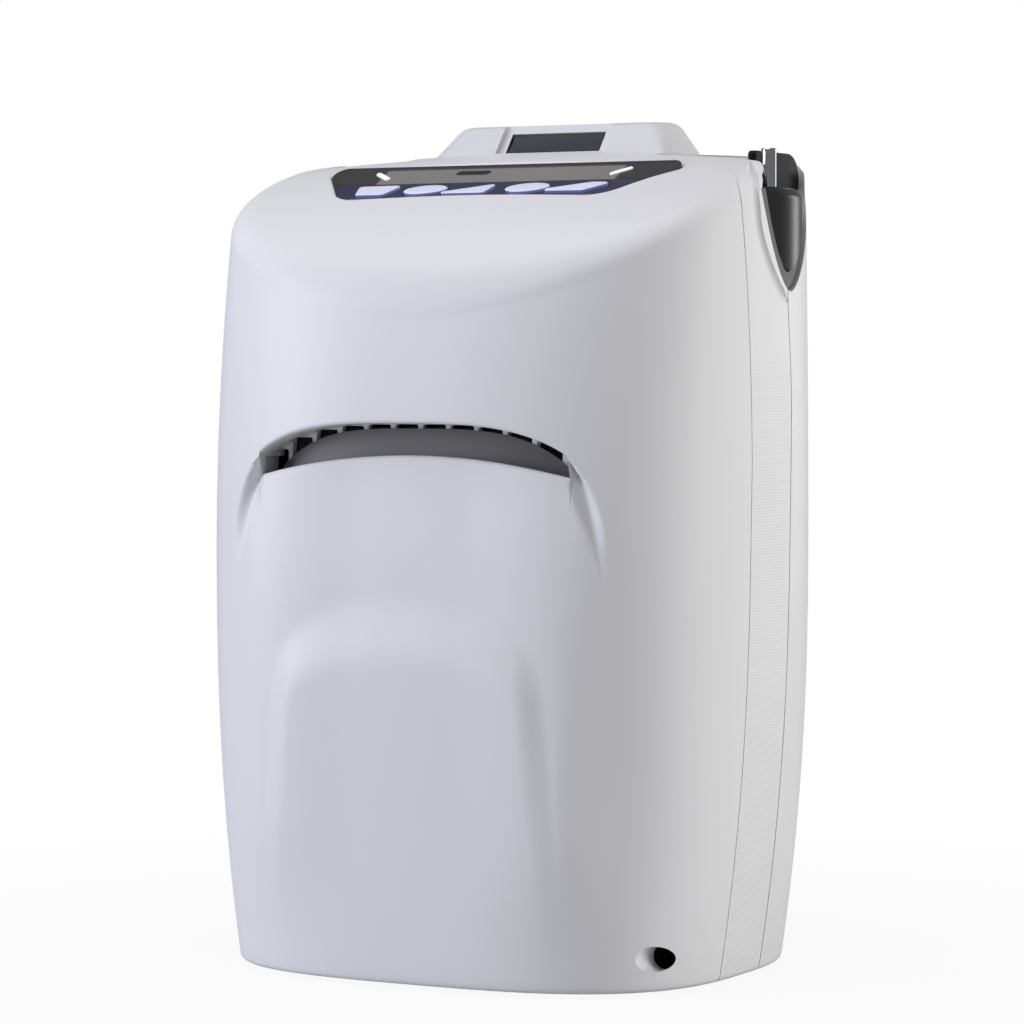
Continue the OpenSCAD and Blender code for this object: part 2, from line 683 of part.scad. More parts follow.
// Raised display housing on the deck.
pod_x = bay_x1 - bay_t - 0.3;
pod_z = deck_z - 4;
pod_top = deck_z + pod_h;
module pod_hull(k) {
    hull() {
        for (s = [-1, 1]) {
            for (y = [pod_y + 2.2, pod_y + pod_d - 2.2])
                translate([s * (pod_x - 2.3), y, pod_z]) cylinder(r = 2 - k, h = 3 - k, $fn = 16);
            for (y = [pod_y + 11, pod_y + pod_d - 6])
                translate([s * (pod_x - 8), y, pod_top - 2.5]) sphere(r = 2.5 - k, $fn = 20);
        }
    }
}
lens_tilt = atan2(pod_top - pod_z - 3.7, 9);
module on_pod_face() {
    translate([0, pod_y + 5, deck_z + 5]) rotate([lens_tilt, 0, 0]) children();
}
lens_h = 10.2;
lens_in = 1.8;
module display_pod() color(white) {
    difference() {
        pod_hull(0);
        hull() {
            translate([-pod_x + 5, pod_y + 6, pod_z - 1]) cube([2 * pod_x - 10, pod_d - 10, 1]);
            translate([-pod_x + 12, pod_y + 15, pod_top - 4]) cube([2 * pod_x - 24, pod_d - 24, 1]);
        }
        on_pod_face() translate([-lens_w / 2, -lens_h / 2, -14]) cube([lens_w, lens_h, 24]);
        on_pod_face() translate([-lens_w / 2 - 3, -lens_h / 2 - 0.8, -lens_in]) cube([lens_w + 6, 60, 24]);
    }
}
display_pod();
module display_lens() color([0.05, 0.06, 0.08]) {
    on_pod_face() translate([-lens_w / 2 + 0.15, -lens_h / 2 + 0.15, -lens_in - 1.6])
        cube([lens_w - 0.3, lens_h - 0.3, 1.4]);
}
display_lens();
module display_module() color([0.1, 0.35, 0.2]) {
    on_pod_face() translate([-lens_w / 2 + 1, -lens_h / 2 + 1, -lens_in - 3.8])
        cube([lens_w - 2, lens_h - 2, 2.1]);
}
display_module();

// Grey collar and dark shield in the notch.
shield_r = 60;
shield_x = case_w / 2 - 0.5 - shield_r;
shield_y = notch_y - 4;
shield_in = bay_x2 + bay_t + 0.6;
shield_top = bat_z2 - 0.5;
shield_k = 4.2;
tab_t = 3;
tab_x = bat_x2 + 1.3;
tab_d = bat_d + 1.9;
nozzle_x = bat_x2 + 9.1;
nozzle_y = notch_y - 3.8;
elbow_z = shield_top - 14;
module nozzle_way(g) {
    translate([nozzle_x, nozzle_y, elbow_z]) {
        cylinder(d = nozzle_d - 0.4 + g, h = deck_z);
        rotate([90, 0, 0]) cylinder(d = nozzle_d - 0.4 + g, h = 60);
        sphere(d = nozzle_d - 0.4 + g);
    }
}
module bezel_collar() color(grey) {
    difference() {
        intersection() {
            notch_prism(shield_in, case_w / 2, 0.8);
            translate([0, -case_d, 0]) cube([case_w, 2 * case_d, shield_top - 1]);
            translate([case_w / 2 - 1.8, notch_y - notch_r, 0]) rotate(9)
                translate([-case_w, -case_d, 0]) cube([case_w, 2 * case_d, deck_z]);
        }
        notch_prism(0, case_w, shield_k - 0.2);
        nozzle_way(0.2);
    }
}
bezel_collar();
module side_bezel() color(dark) {
    difference() {
        intersection() {
            notch_prism(shield_in, case_w / 2 + 4, shield_k);
            union() {
                translate([shield_x, shield_y, notch_z])
                    cylinder(r = shield_r, h = shield_top - notch_z - 3.4);
                translate([shield_x, shield_y, shield_top - 3.4])
                    cylinder(r1 = shield_r, r2 = shield_r - 3, h = 3.4);
            }
        }
        nozzle_way(0.2);
    }
}
side_bezel();

// Bright outlet tube with its elbow to the hose.
module oxygen_nozzle() color(steel) {
    translate([nozzle_x, nozzle_y, elbow_z]) difference() {
        union() {
            cylinder(d = nozzle_d - 0.4, h = shield_top - elbow_z + 1);
            translate([0, 0, shield_top - elbow_z + 0.1]) cylinder(d = nozzle_d, h = nozzle_h);
            rotate([90, 0, 0]) cylinder(d = nozzle_d - 0.4, h = notch_r + 3);
            sphere(d = nozzle_d - 0.4);
        }
        cylinder(d = nozzle_bore, h = 80);
        rotate([90, 0, 0]) cylinder(d = nozzle_bore, h = 60);
    }
}
oxygen_nozzle();

// Power socket behind the boss in the front cover.
module dc_inlet() color(dark) {
    translate([inlet_x, inlet_y, inlet_z]) rotate([-90, 0, 0]) {
        difference() {
            translate([0, 0, 0.1]) cylinder(d = inlet_d + 2.4, h = 17);
            translate([0, 0, -1]) cylinder(d = inlet_d, h = 11);
            cylinder(d = inlet_d - 2, h = 14);
        }
        translate([0, 0, 10.5]) cylinder(d = 2, h = 4);
        translate([-4, -3, 17]) cube([8, 6, 3]);
    }
}
dc_inlet();

// Battery pack and its black cap with the pull tab.
module battery_pack() color(dark) {
    translate([bat_x1, bat_y, bat_z1]) {
        translate([3, 0, 0]) cube([bat_w - 6, bat_d, bat_h]);
        translate([0, 3, 0]) cube([bat_w, bat_d - 6, bat_h]);
        for (x = [3, bat_w - 3], y = [3, bat_d - 3]) translate([x, y, 0]) cylinder(r = 3, h = bat_h);
    }
}
battery_pack();
module battery_cap() color(dark) {
    difference() {
        union() {
            translate([bat_x1 + 0.1, bat_y + 0.1, bat_z2])
                cube([tab_x + tab_t - bat_x1 - 0.1, bat_d - 0.2, 3]);
            translate([tab_x, bat_y, bat_z2]) rotate([90, 0, 90]) linear_extrude(tab_t) tab_plan();
        }
        translate([bat_x1 + 8, bat_y + bat_d / 2, bat_z2 + 1.5]) cylinder(d = 8, h = 4);
    }
}
module tab_plan() {
    h = 13;
    r = 6;
    translate([0.1, 0]) square([tab_d - r - 0.1, h]);
    translate([0.1, 0]) square([tab_d - 0.1, h - r]);
    translate([tab_d - r, h - r]) circle(r);
}
battery_cap();

// Plug that closes the second bay.
plug_z = deck_z - 6;
module bay_plug() color(grey) {
    mirror([1, 0, 0]) difference() {
        translate([0, 0, bat_z2 - 16]) linear_extrude(plug_z - bat_z2 + 16) bay_plan(-bat_gap);
        translate([bat_x1 + 2, bat_y + 2, bat_z2 - 17]) cube([bat_w - 4, bat_d - 4, 14]);
        translate([(bat_x1 + bat_x2) / 2, bat_y + bat_d / 2, plug_z + 13]) sphere(r = 17);
    }
}
bay_plug();

// Contact blocks on the floors of the bays.
module battery_contacts() color(dark) {
    for (s = [-1, 1]) {
        translate([s * (bat_x1 + bat_x2) / 2 - 10, bat_y + 8, bat_z1 - 2]) cube([20, 8, 1.6]);
        for (i = [-2:2])
            translate([s * (bat_x1 + bat_x2) / 2 + i * 3.6 - 0.6, bat_y + 10, bat_z1 - 0.5])
                cube([1.2, 4, 0.3]);
    }
}
battery_contacts();

// Twin-head compressor on rubber isolators.
col_x = head_reach + 4 + col_d / 2;
fan_y = front_y(0, mouth_z) + mouth_deep + wall + foam_t + 4.5;
man_y = fan_y + fan_t;
man_d = 20;
col_y = man_y + man_d / 2;
col_z = 22;
cap_h = 8;
man_z = col_z + col_h + 2 * cap_h;
comp_z = floor_z + 10;
shaft_z = comp_z + 6 + head_d / 2 + 4;
comp_y = col_y + 2;
module compressor_body() color(steel) {
    translate([-30, comp_y - 18, comp_z]) cube([60, 36, 6]);
    translate([0, comp_y - 15, shaft_z]) rotate([-90, 0, 0]) cylinder(d = head_d + 8, h = 26);
    translate([-14, comp_y - 14, comp_z + 5]) cube([28, 24, shaft_z - comp_z - 5]);
}
compressor_body();
module compressor_heads() color(grey) {
    difference() {
        for (s = [-1, 1])
            translate([0, comp_y - 2, shaft_z]) rotate([0, s * 90, 0]) {
                translate([0, 0, 15]) cylinder(d = head_d - 8, h = head_reach - 15);
                for (i = [0:4]) translate([0, 0, head_reach - 19 + 4 * i]) cylinder(d = head_d, h = 1.8);
                translate([0, 0, head_reach - 3]) cylinder(d = head_d, h = 3);
            }
        translate([0, comp_y - 15.05, shaft_z]) rotate([-90, 0, 0]) cylinder(d = head_d + 8.1, h = 40);
    }
}
compressor_heads();
module compressor_motor() color(dark) {
    translate([0, comp_y + 11, shaft_z]) rotate([-90, 0, 0]) {
        cylinder(d = head_d + 2, h = bay_y1 - bay_t - comp_y - 13);
        for (a = [0:45:315]) rotate(a)
            translate([head_d / 2, -2, 0]) cube([3, 4, bay_y1 - bay_t - comp_y - 16]);
    }
}
compressor_motor();
module isolators() color(dark) {
    for (sx = [-1, 1], sy = [-1, 1])
        translate([sx * 23, comp_y + sy * 11, floor_z]) {
            cylinder(d = 11, h = comp_z - floor_z);
            translate([0, 0, (comp_z - floor_z) / 2 - 1]) cylinder(d = 13, h = 2);
        }
}
isolators();

// Sieve columns with their end caps.
module sieve_columns() color(steel) {
    for (s = [-1, 1]) translate([s * col_x, col_y, col_z + cap_h]) cylinder(d = col_d, h = col_h);
}
sieve_columns();
module column_caps() color(dark) {
    for (s = [-1, 1], z = [col_z, col_z + cap_h + col_h])
        translate([s * col_x, col_y, z]) cylinder(d = col_d + 1.5, h = cap_h);
}
column_caps();

// Valve manifold across the columns with its solenoids.
man_x = col_x + 14;
man_h = 16;
module valve_manifold() color(steel) {
    translate([-man_x, man_y, man_z]) cube([2 * man_x, man_d, man_h]);
}
valve_manifold();
module solenoid_valves() color(dark) {
    for (x = [-56, -34, 34, 56]) translate([x, col_y, man_z + man_h]) {
        cylinder(d = 9, h = 4);
        translate([0, 0, 4]) cylinder(d = 16, h = 20);
        translate([0, 0, 24]) cylinder(d = 6, h = 3);
    }
}
solenoid_valves();

// Product tank and intake muffler on the base plate behind the bulkhead.
tank_y = bay_y1 + tank_d / 2 + 6;
module vessel(d, h) {
    cylinder(d = d, h = h - 8);
    translate([0, 0, h - 8]) cylinder(d1 = d, d2 = d - 12, h = 6);
    translate([0, 0, h - 2]) cylinder(d = 10, h = 8);
}
module product_tank() color(white) {
    translate([-tank_d / 2 - 2, tank_y, floor_z]) vessel(tank_d, tank_h);
}
product_tank();
module intake_muffler() color(dark) {
    translate([tank_d / 2 + 2, tank_y, floor_z]) vessel(tank_d, tank_h * 0.72);
}
intake_muffler();

// Hoses from the compressor heads to the manifold.
hose_d = 8;
module feed_hoses() color(dark) {
    for (s = [-1, 1])
        translate([s * (head_reach - 1.5), comp_y - 2, shaft_z + head_d / 2 - 0.4]) difference() {
            cylinder(d = hose_d, h = man_z - shaft_z - head_d / 2 + 0.4);
            translate([-20, -20, -1]) cube([40, 40, 1.4]);
        }
}
feed_hoses();

// Product hose from the manifold to the outlet tube, swept along its route.
hose_route = [[man_x - 6, col_y, man_z + man_h], [man_x - 6, col_y, man_z + man_h + 10],
    [man_x + 2, col_y + 4, man_z + man_h + 24], [nozzle_x - 3, col_y + 12, elbow_z - 12],
    [nozzle_x, nozzle_y - notch_r - 11, elbow_z], [nozzle_x, nozzle_y - notch_r - 3.2, elbow_z]];
function mid_of(p, i, t) =
    let (a = p[max(0, i - 1)], b = p[i], c = p[i + 1], d = p[min(len(p) - 1, i + 2)])
    0.5 * (2 * b + (c - a) * t + (2 * a - 5 * b + 4 * c - d) * t * t + (3 * b - a - 3 * c + d) * t * t * t);
hose_path = concat([for (i = [0:len(hose_route) - 2], t = [0, 0.34, 0.67]) mid_of(hose_route, i, t)],
    [hose_route[len(hose_route) - 1]]);
function unit(v) = v / norm(v);
module product_hose() color(grey) {
    n = 10;
    m = len(hose_path);
    dirs = [for (i = [0:m - 1]) i == 0 ? [0, 0, 1] : i == m - 1 ? [0, 1, 0]
        : unit(hose_path[i + 1] - hose_path[i - 1])];
    pts = [for (i = [0:m - 1]) let (u = unit(cross(dirs[i], [1, 0.2, 0])), v = cross(dirs[i], u))
        for (j = [0:n - 1])
            hose_path[i] + (hose_d / 2 - 0.6) * (u * cos(360 * j / n) + v * sin(360 * j / n))];
    polyhedron(pts, concat([[for (j = [0:n - 1]) j]],
        [for (i = [0:m - 2], j = [0:n - 1]) [i * n + j, (i + 1) * n + j, i * n + (j + 1) % n]],
        [for (i = [0:m - 2], j = [0:n - 1])
            [i * n + (j + 1) % n, (i + 1) * n + j, (i + 1) * n + (j + 1) % n]],
        [[for (j = [0:n - 1]) m * n - 1 - j]]), convexity = 4);
}
product_hose();

// Cooling fan on the front of the manifold.
fan_z = man_z + man_h / 2;
module fan_frame() color(dark) {
    translate([0, fan_y, fan_z]) rotate([-90, 0, 0]) {
        difference() {
            translate([-fan_s / 2, -fan_s / 2, 0]) cube([fan_s, fan_s, fan_t]);
            translate([0, 0, -1]) cylinder(d = fan_s - 4, h = fan_t + 2);
            for (x = [-1, 1], y = [-1, 1])
                translate([x * (fan_s / 2 - 5), y * (fan_s / 2 - 5), -1]) cylinder(d = 4, h = fan_t + 2);
        }
        difference() {
            union() {
                translate([0, 0, fan_t - 3]) cylinder(d = 22, h = 3);
                for (a = [0:90:270]) rotate(a + 45)
                    translate([8, -2, fan_t - 3]) cube([fan_s / 2 - 9, 4, 3]);
            }
            translate([0, 0, 0]) cylinder(d = 3.1, h = fan_t - 0.8);
        }
    }
}
fan_frame();
module fan_rotor() color(grey) {
    translate([0, fan_y, fan_z]) rotate([-90, 0, 0]) {
        cylinder(d = 24, h = fan_t - 4);
        translate([0, 0, 1]) cylinder(d = 3, h = fan_t - 2);
        intersection() {
            for (a = [0:360 / 7:359]) rotate(a) translate([10, 0, (fan_t - 4) / 2]) rotate([38, 0, 0])
                translate([0, -7, -0.6]) cube([fan_s / 2, 14, 1.2]);
            translate([0, 0, 0.6]) cylinder(d = fan_s - 6, h = fan_t - 5.2);
        }
    }
}
fan_rotor();

// Main board on the rear of the bulkhead.
board_w = 84;
board_z1 = 150;
board_h = 96;
module main_board() color([0.1, 0.35, 0.2]) {
    by = bay_y1 - bay_t + 2.4;
    for (x = [-1, 1], z = [5, board_h - 5])
        translate([x * (board_w / 2 - 5), by, board_z1 + z]) rotate([-90, 0, 0]) cylinder(d = 5, h = 3);
    translate([-board_w / 2, by + 3, board_z1]) cube([board_w, 1.6, board_h]);
    translate([-30, by + 4.5, board_z1 + 12]) cube([26, 3, 26]);
    translate([8, by + 4.5, board_z1 + 10]) cube([24, 9, 10]);
    for (i = [0:2])
        translate([12 + i * 12, by + 4.5, board_z1 + 60]) rotate([-90, 0, 0]) cylinder(d = 9, h = 12);
    translate([-32, by + 4.5, board_z1 + 70]) cube([30, 7, 7]);
}
main_board();

// Intake filter in its seat and the slotted cover that clips over it.
module intake_filter() color(dark) {
    translate([-intake_w, case_d / 2 - 13.2, intake_z1])
        cube([2 * intake_w, 8, intake_z2 - intake_z1]);
}
intake_filter();
module filter_cover() color(white) {
    difference() {
        intersection() {
            outside();
            rear_window(0, 0);
        }
        translate([-case_w, -case_d, 0]) cube([2 * case_w, 1.5 * case_d - 4.8, deck_z]);
        for (i = [0:10]) hull() for (dx = [-intake_w + 10, intake_w - 10])
            translate([dx, case_d / 2 - 20, intake_z1 + 14 + i * 6])
                rotate([-90, 0, 0]) cylinder(r = 1.4, h = 40, $fn = 8);
    }
}
filter_cover();
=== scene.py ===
# Portable oxygen concentrator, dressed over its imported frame.
# Lengths are in millimetres, and mm turns them into metres. Lamps and shader masks are in metres.
import bpy
import bmesh
import math
from mathutils import Matrix, Vector, geometry


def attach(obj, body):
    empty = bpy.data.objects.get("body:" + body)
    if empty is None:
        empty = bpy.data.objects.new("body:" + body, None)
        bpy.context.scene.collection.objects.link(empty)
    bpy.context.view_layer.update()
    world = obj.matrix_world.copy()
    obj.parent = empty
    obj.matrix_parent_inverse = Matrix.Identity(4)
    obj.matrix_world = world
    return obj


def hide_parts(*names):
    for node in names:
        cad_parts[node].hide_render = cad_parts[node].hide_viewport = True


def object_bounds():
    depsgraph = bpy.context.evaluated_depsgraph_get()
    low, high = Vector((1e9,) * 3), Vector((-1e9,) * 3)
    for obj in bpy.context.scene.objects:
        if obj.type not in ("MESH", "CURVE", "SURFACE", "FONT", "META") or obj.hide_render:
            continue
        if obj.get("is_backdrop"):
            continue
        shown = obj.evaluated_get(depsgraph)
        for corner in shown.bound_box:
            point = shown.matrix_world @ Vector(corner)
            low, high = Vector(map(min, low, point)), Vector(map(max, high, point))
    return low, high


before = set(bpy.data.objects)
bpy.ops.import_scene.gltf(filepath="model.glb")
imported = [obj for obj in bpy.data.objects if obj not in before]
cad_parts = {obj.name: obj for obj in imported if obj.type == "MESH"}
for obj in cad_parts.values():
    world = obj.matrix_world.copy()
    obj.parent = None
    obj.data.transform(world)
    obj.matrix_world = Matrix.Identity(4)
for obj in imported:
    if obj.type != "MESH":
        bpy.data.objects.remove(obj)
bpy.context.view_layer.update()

# Studio: a long lens from the front right, a pale floor and large soft lamps.
# The room is white to the camera, straight or through glass, and plain grey as a source of light.
mm = 0.001
scene = bpy.context.scene
scene.view_settings.view_transform = "Standard"

camera_data = bpy.data.cameras.new("camera")
camera_data.sensor_width = 36.0
camera_data.lens = 140.625
camera_data.clip_end = 50.0
camera = bpy.data.objects.new("camera", camera_data)
camera_turn = 28.5
camera_dip = 2.18
camera.location = (709.5 * mm, -1306.8 * mm, 224 * mm)
camera.rotation_euler = (math.radians(90 - camera_dip), 0, math.radians(camera_turn))
scene.collection.objects.link(camera)
scene.camera = camera


def soft_lamp(name, place, aim, size, power, colour):
    lamp_data = bpy.data.lights.new(name, "AREA")
    lamp_data.shape = "RECTANGLE"
    lamp_data.size = size[0]
    lamp_data.size_y = size[1]
    lamp_data.energy = power
    lamp_data.color = colour
    lamp = bpy.data.objects.new(name, lamp_data)
    turn = (Vector(aim) - Vector(place)).to_track_quat("-Z", "Y")
    lamp.matrix_world = Matrix.Translation(place) @ turn.to_matrix().to_4x4()
    scene.collection.objects.link(lamp)
    return lamp


soft_lamp("lamp_top", (-0.15, -0.35, 1.5), (0, 0, 0.3), (1.3, 1.0), 10.5, (1.0, 0.99, 1.0))
soft_lamp("lamp_front", (-1.84, -1.54, 0.75), (0, 0, 0.15), (1.1, 1.3), 36, (0.86, 0.87, 1.0))
warm_white = (1.0, 0.98, 0.94)
lamp_right = soft_lamp("lamp_right", (1.65, 0.52, 0.50), (0.1, 0, 0.15), (0.7, 1.2), 20.5, warm_white)
lamp_right.visible_glossy = False
sheen_white = (1.0, 0.99, 0.97)
lamp_rear = soft_lamp("lamp_rear", (0.62, 1.62, 0.50), (0.1, 0, 0.2), (0.45, 0.9), 3.0, sheen_white)
lamp_rear.visible_diffuse = False


def set_values(node, values):
    for name, value in values.items():
        node.inputs[name].default_value = value


def add_node(tree, kind, values=None):
    node = tree.nodes.new("ShaderNode" + kind)
    set_values(node, values or {})
    return node


def combine(tree, operation, *terms):
    node = add_node(tree, "Math")
    node.operation = operation
    for socket, term in zip(node.inputs, terms):
        if isinstance(term, float):
            socket.default_value = term
        else:
            tree.links.new(term, socket)
    return node.outputs[0]


world = bpy.data.worlds.new("studio")
world.use_nodes = True
scene.world = world
tree = world.node_tree
tree.nodes.clear()
sky_plain = add_node(tree, "Background", {"Color": (0.80, 0.82, 0.88, 1), "Strength": 0.185})
sky_white = add_node(tree, "Background", {"Color": (1, 1, 1, 1), "Strength": 1.0})
ray = add_node(tree, "LightPath")
seen = combine(tree, "MAXIMUM", ray.outputs["Is Camera Ray"], ray.outputs["Is Transmission Ray"])
sky = add_node(tree, "MixShader")
tree.links.new(seen, sky.inputs["Fac"])
tree.links.new(sky_plain.outputs[0], sky.inputs[1])
tree.links.new(sky_white.outputs[0], sky.inputs[2])
sky_out = add_node(tree, "OutputWorld")
tree.links.new(sky.outputs[0], sky_out.inputs["Surface"])

floor_bm = bmesh.new()
bmesh.ops.create_circle(floor_bm, cap_ends=True, segments=96, radius=9.0)
floor_mesh = bpy.data.meshes.new("floor")
floor_bm.to_mesh(floor_mesh)
floor_bm.free()
floor = bpy.data.objects.new("floor", floor_mesh)
scene.collection.objects.link(floor)
floor_paint = bpy.data.materials.new("floor_paper")
floor_paint.use_nodes = True
tree = floor_paint.node_tree
tree.nodes.clear()
paper = add_node(tree, "BsdfDiffuse", {"Color": (0.60, 0.60, 0.61, 1)})
glow = add_node(tree, "Emission", {"Color": (1, 1, 1, 1), "Strength": 1.0})
ray = add_node(tree, "LightPath")
where = add_node(tree, "TexCoord")
away = add_node(tree, "VectorMath")
away.operation = "LENGTH"
tree.links.new(where.outputs["Object"], away.inputs[0])
fade = add_node(tree, "MapRange", {"From Min": 0.12, "From Max": 0.45, "To Min": 0.92, "To Max": 1.0})
tree.links.new(away.outputs["Value"], fade.inputs["Value"])
share = combine(tree, "MULTIPLY", ray.outputs["Is Camera Ray"], fade.outputs["Result"])
lit_paper = add_node(tree, "MixShader")
tree.links.new(share, lit_paper.inputs["Fac"])
tree.links.new(paper.outputs[0], lit_paper.inputs[1])
tree.links.new(glow.outputs[0], lit_paper.inputs[2])
floor_out = add_node(tree, "OutputMaterial")
tree.links.new(lit_paper.outputs[0], floor_out.inputs["Surface"])
floor_mesh.materials.append(floor_paint)
floor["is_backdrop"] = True


# Base: a dark moulded plate inside the case edge, four rubber feet and four steel screws.
# The plate is injection moulded with a fine matt texture; the feet are pressed into it.
def add_texture(tree, kind, values):
    texture = add_node(tree, "Tex" + kind, values)
    tree.links.new(add_node(tree, "TexCoord").outputs["Object"], texture.inputs["Vector"])
    return texture


def grain_group():
    group = bpy.data.node_groups.new("moulded_grain", "ShaderNodeTree")
    for name in ("Colour", "Tint"):
        group.interface.new_socket(name, in_out="INPUT", socket_type="NodeSocketColor")
    for name in ("Grain", "Mottle", "Rough low", "Rough high"):
        group.interface.new_socket(name, in_out="INPUT", socket_type="NodeSocketFloat")
    group.interface.new_socket("Colour", in_out="OUTPUT", socket_type="NodeSocketColor")
    for name in ("Roughness", "Height"):
        group.interface.new_socket(name, in_out="OUTPUT", socket_type="NodeSocketFloat")
    links = group.links
    given = group.nodes.new("NodeGroupInput")
    out = group.nodes.new("NodeGroupOutput")
    fine = add_texture(group, "Noise", {"Detail": 3.0})
    links.new(given.outputs["Grain"], fine.inputs["Scale"])
    broad = add_texture(group, "Noise", {"Detail": 4.0})
    links.new(given.outputs["Mottle"], broad.inputs["Scale"])
    mix = add_node(group, "Mix")
    mix.data_type = "RGBA"
    links.new(broad.outputs["Fac"], mix.inputs["Factor"])
    links.new(given.outputs["Colour"], mix.inputs["A"])
    links.new(given.outputs["Tint"], mix.inputs["B"])
    links.new(mix.outputs["Result"], out.inputs["Colour"])
    fine_share = 0.45
    rest = combine(group, "MULTIPLY", broad.outputs["Fac"], 1 - fine_share)
    blend = combine(group, "MULTIPLY_ADD", fine.outputs["Fac"], fine_share, rest)
    rough = add_node(group, "MapRange", {"From Min": 0.25, "From Max": 0.75})
    links.new(blend, rough.inputs["Value"])
    links.new(given.outputs["Rough low"], rough.inputs["To Min"])
    links.new(given.outputs["Rough high"], rough.inputs["To Max"])
    links.new(rough.outputs["Result"], out.inputs["Roughness"])
    links.new(fine.outputs["Fac"], out.inputs["Height"])
    return group


moulded_grain = grain_group()


def finish(name, colour, tint, rough, grain=1400.0, mottle=30.0, bump=0.12, metallic=0.0, coat=0.0,
        specular=0.5):
    paint = bpy.data.materials.new(name)
    paint.use_nodes = True
    tree = paint.node_tree
    shader = tree.nodes["Principled BSDF"]
    skin = add_node(tree, "Group")
    skin.name = "skin"
    skin.node_tree = moulded_grain
    set_values(skin, {"Colour": (*colour, 1), "Tint": (*tint, 1), "Grain": grain, "Mottle": mottle})
    set_values(skin, {"Rough low": rough[0], "Rough high": rough[1]})
    relief = add_node(tree, "Bump", {"Strength": bump, "Distance": 0.2 * mm})
    relief.name = "relief"
    tree.links.new(skin.outputs["Colour"], shader.inputs["Base Color"])
    tree.links.new(skin.outputs["Roughness"], shader.inputs["Roughness"])
    tree.links.new(skin.outputs["Height"], relief.inputs["Height"])
    tree.links.new(relief.outputs["Normal"], shader.inputs["Normal"])
    set_values(shader, {"Metallic": metallic, "Coat Weight": coat, "Specular IOR Level": specular})
    return paint


def dress(material, *names):
    for name in names:
        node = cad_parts[name]
        node.data.materials.clear()
        node.data.materials.append(material)


plate_black = finish("plate_black", (0.030, 0.030, 0.032), (0.045, 0.044, 0.045), (0.5, 0.68), bump=0.3)
foot_rubber = finish("foot_rubber", (0.014, 0.014, 0.015), (0.028, 0.027, 0.026), (0.7, 0.9), grain=900)
screw_steel = finish("screw_steel", (0.55, 0.56, 0.58), (0.42, 0.43, 0.45), (0.22, 0.4), metallic=1.0)
dress(plate_black, "base_plate")
dress(foot_rubber, "feet")
dress(screw_steel, "base_screws")

# Chassis: grey moulded bays joined by a bulkhead that carries the main board.
# The board is glass epoxy with solder mask; its parts stand on the rear side.
chassis_grey = finish("chassis_grey", (0.20, 0.20, 0.205), (0.25, 0.25, 0.255), (0.45, 0.6), bump=0.2)
dress(chassis_grey, "inner_chassis")


def board_finish():
    mask_green = (0.010, 0.075, 0.035)
    paint = finish("board_green", mask_green, (0.016, 0.105, 0.05), (0.28, 0.42), coat=0.3)
    tree = paint.node_tree
    tracks = add_texture(tree, "Brick", {"Scale": 160.0, "Mortar Size": 0.06, "Color1": (*mask_green, 1)})
    set_values(tracks, {"Color2": (0.014, 0.095, 0.045, 1), "Mortar": (0.05, 0.20, 0.10, 1)})
    tree.links.new(tracks.outputs["Color"], tree.nodes["Principled BSDF"].inputs["Base Color"])
    return paint


board_green = board_finish()
dress(board_green, "main_board", "keypad_board", "display_module")

# Gas train, fan and contacts: an alloy compressor and manifold on rubber isolators, black motor and
# valves, anodised sieve columns, a white blow-moulded tank and grey hoses, all inside the closed case.
alloy = finish("alloy", (0.50, 0.51, 0.53), (0.40, 0.41, 0.43), (0.30, 0.48), grain=700, metallic=1.0)
motor_black = finish("motor_black", (0.022, 0.022, 0.024), (0.04, 0.04, 0.042), (0.38, 0.55))
tank_white = finish("tank_white", (0.66, 0.66, 0.64), (0.58, 0.58, 0.57), (0.4, 0.55), bump=0.2)
hose_grey = finish("hose_grey", (0.12, 0.12, 0.125), (0.16, 0.16, 0.165), (0.5, 0.65))
dress(alloy, "compressor_body", "compressor_heads", "valve_manifold", "sieve_columns")
dress(foot_rubber, "isolators")
dress(motor_black, "compressor_motor", "solenoid_valves", "column_caps", "intake_muffler", "fan_frame",
    "battery_contacts")
dress(tank_white, "product_tank")
dress(hose_grey, "feed_hoses", "product_hose", "fan_rotor")


# Foam: open-cell black sheets behind the vent slots and in the air intake.
# They are die cut and lie loose between their neighbours.
def foam_finish():
    paint = finish("foam_black", (0.010, 0.010, 0.011), (0.022, 0.022, 0.023), (0.85, 0.98), grain=500)
    tree = paint.node_tree
    cells = add_texture(tree, "Voronoi", {"Scale": 900.0})
    relief = tree.nodes["relief"]
    set_values(relief, {"Strength": 0.9, "Distance": 0.6 * mm})
    tree.links.new(cells.outputs["Distance"], relief.inputs["Height"])
    return paint


foam_black = foam_finish()
dress(foam_black, "vent_foam", "intake_filter")


# Front cover: a white injection-moulded housing with the hood, the vent mouth and the tongue.
# Its skin is a rounded square in plan that leans back; it meets the frame behind it at a bowed seam.
case_half_wide = 106
case_half_deep = 84
case_waist = 150
case_crown = 302
case_wall = 2.6
case_foot = 3.5
foot_round = 2
plan_power = 3
side_taper = 10
toe_taper = 4
heel_taper = 6.5
nose_lean = 24
crown_taper = 1.5


def below_waist(z):
    return max(0.0, case_waist - z) / case_waist


def above_waist(z):
    return max(0.0, z - case_waist) / (case_crown - case_waist)


def half_width(z):
    return case_half_wide - side_taper * below_waist(z) ** 2.3 - crown_taper * above_waist(z) ** 2


def half_depth(z, front):
    if front:
        return case_half_deep - toe_taper * below_waist(z) ** 2.3 - nose_lean * above_waist(z) ** 2
    return case_half_deep - heel_taper * below_waist(z) ** 1.7 - crown_taper * above_waist(z) ** 2


def plan_radius(t, z, inset):
    across = abs(math.cos(t)) / (half_width(z) - inset)
    along = abs(math.sin(t)) / (half_depth(z, math.sin(t) < 0) - inset)
    return (across ** plan_power + along ** plan_power) ** (-1 / plan_power)


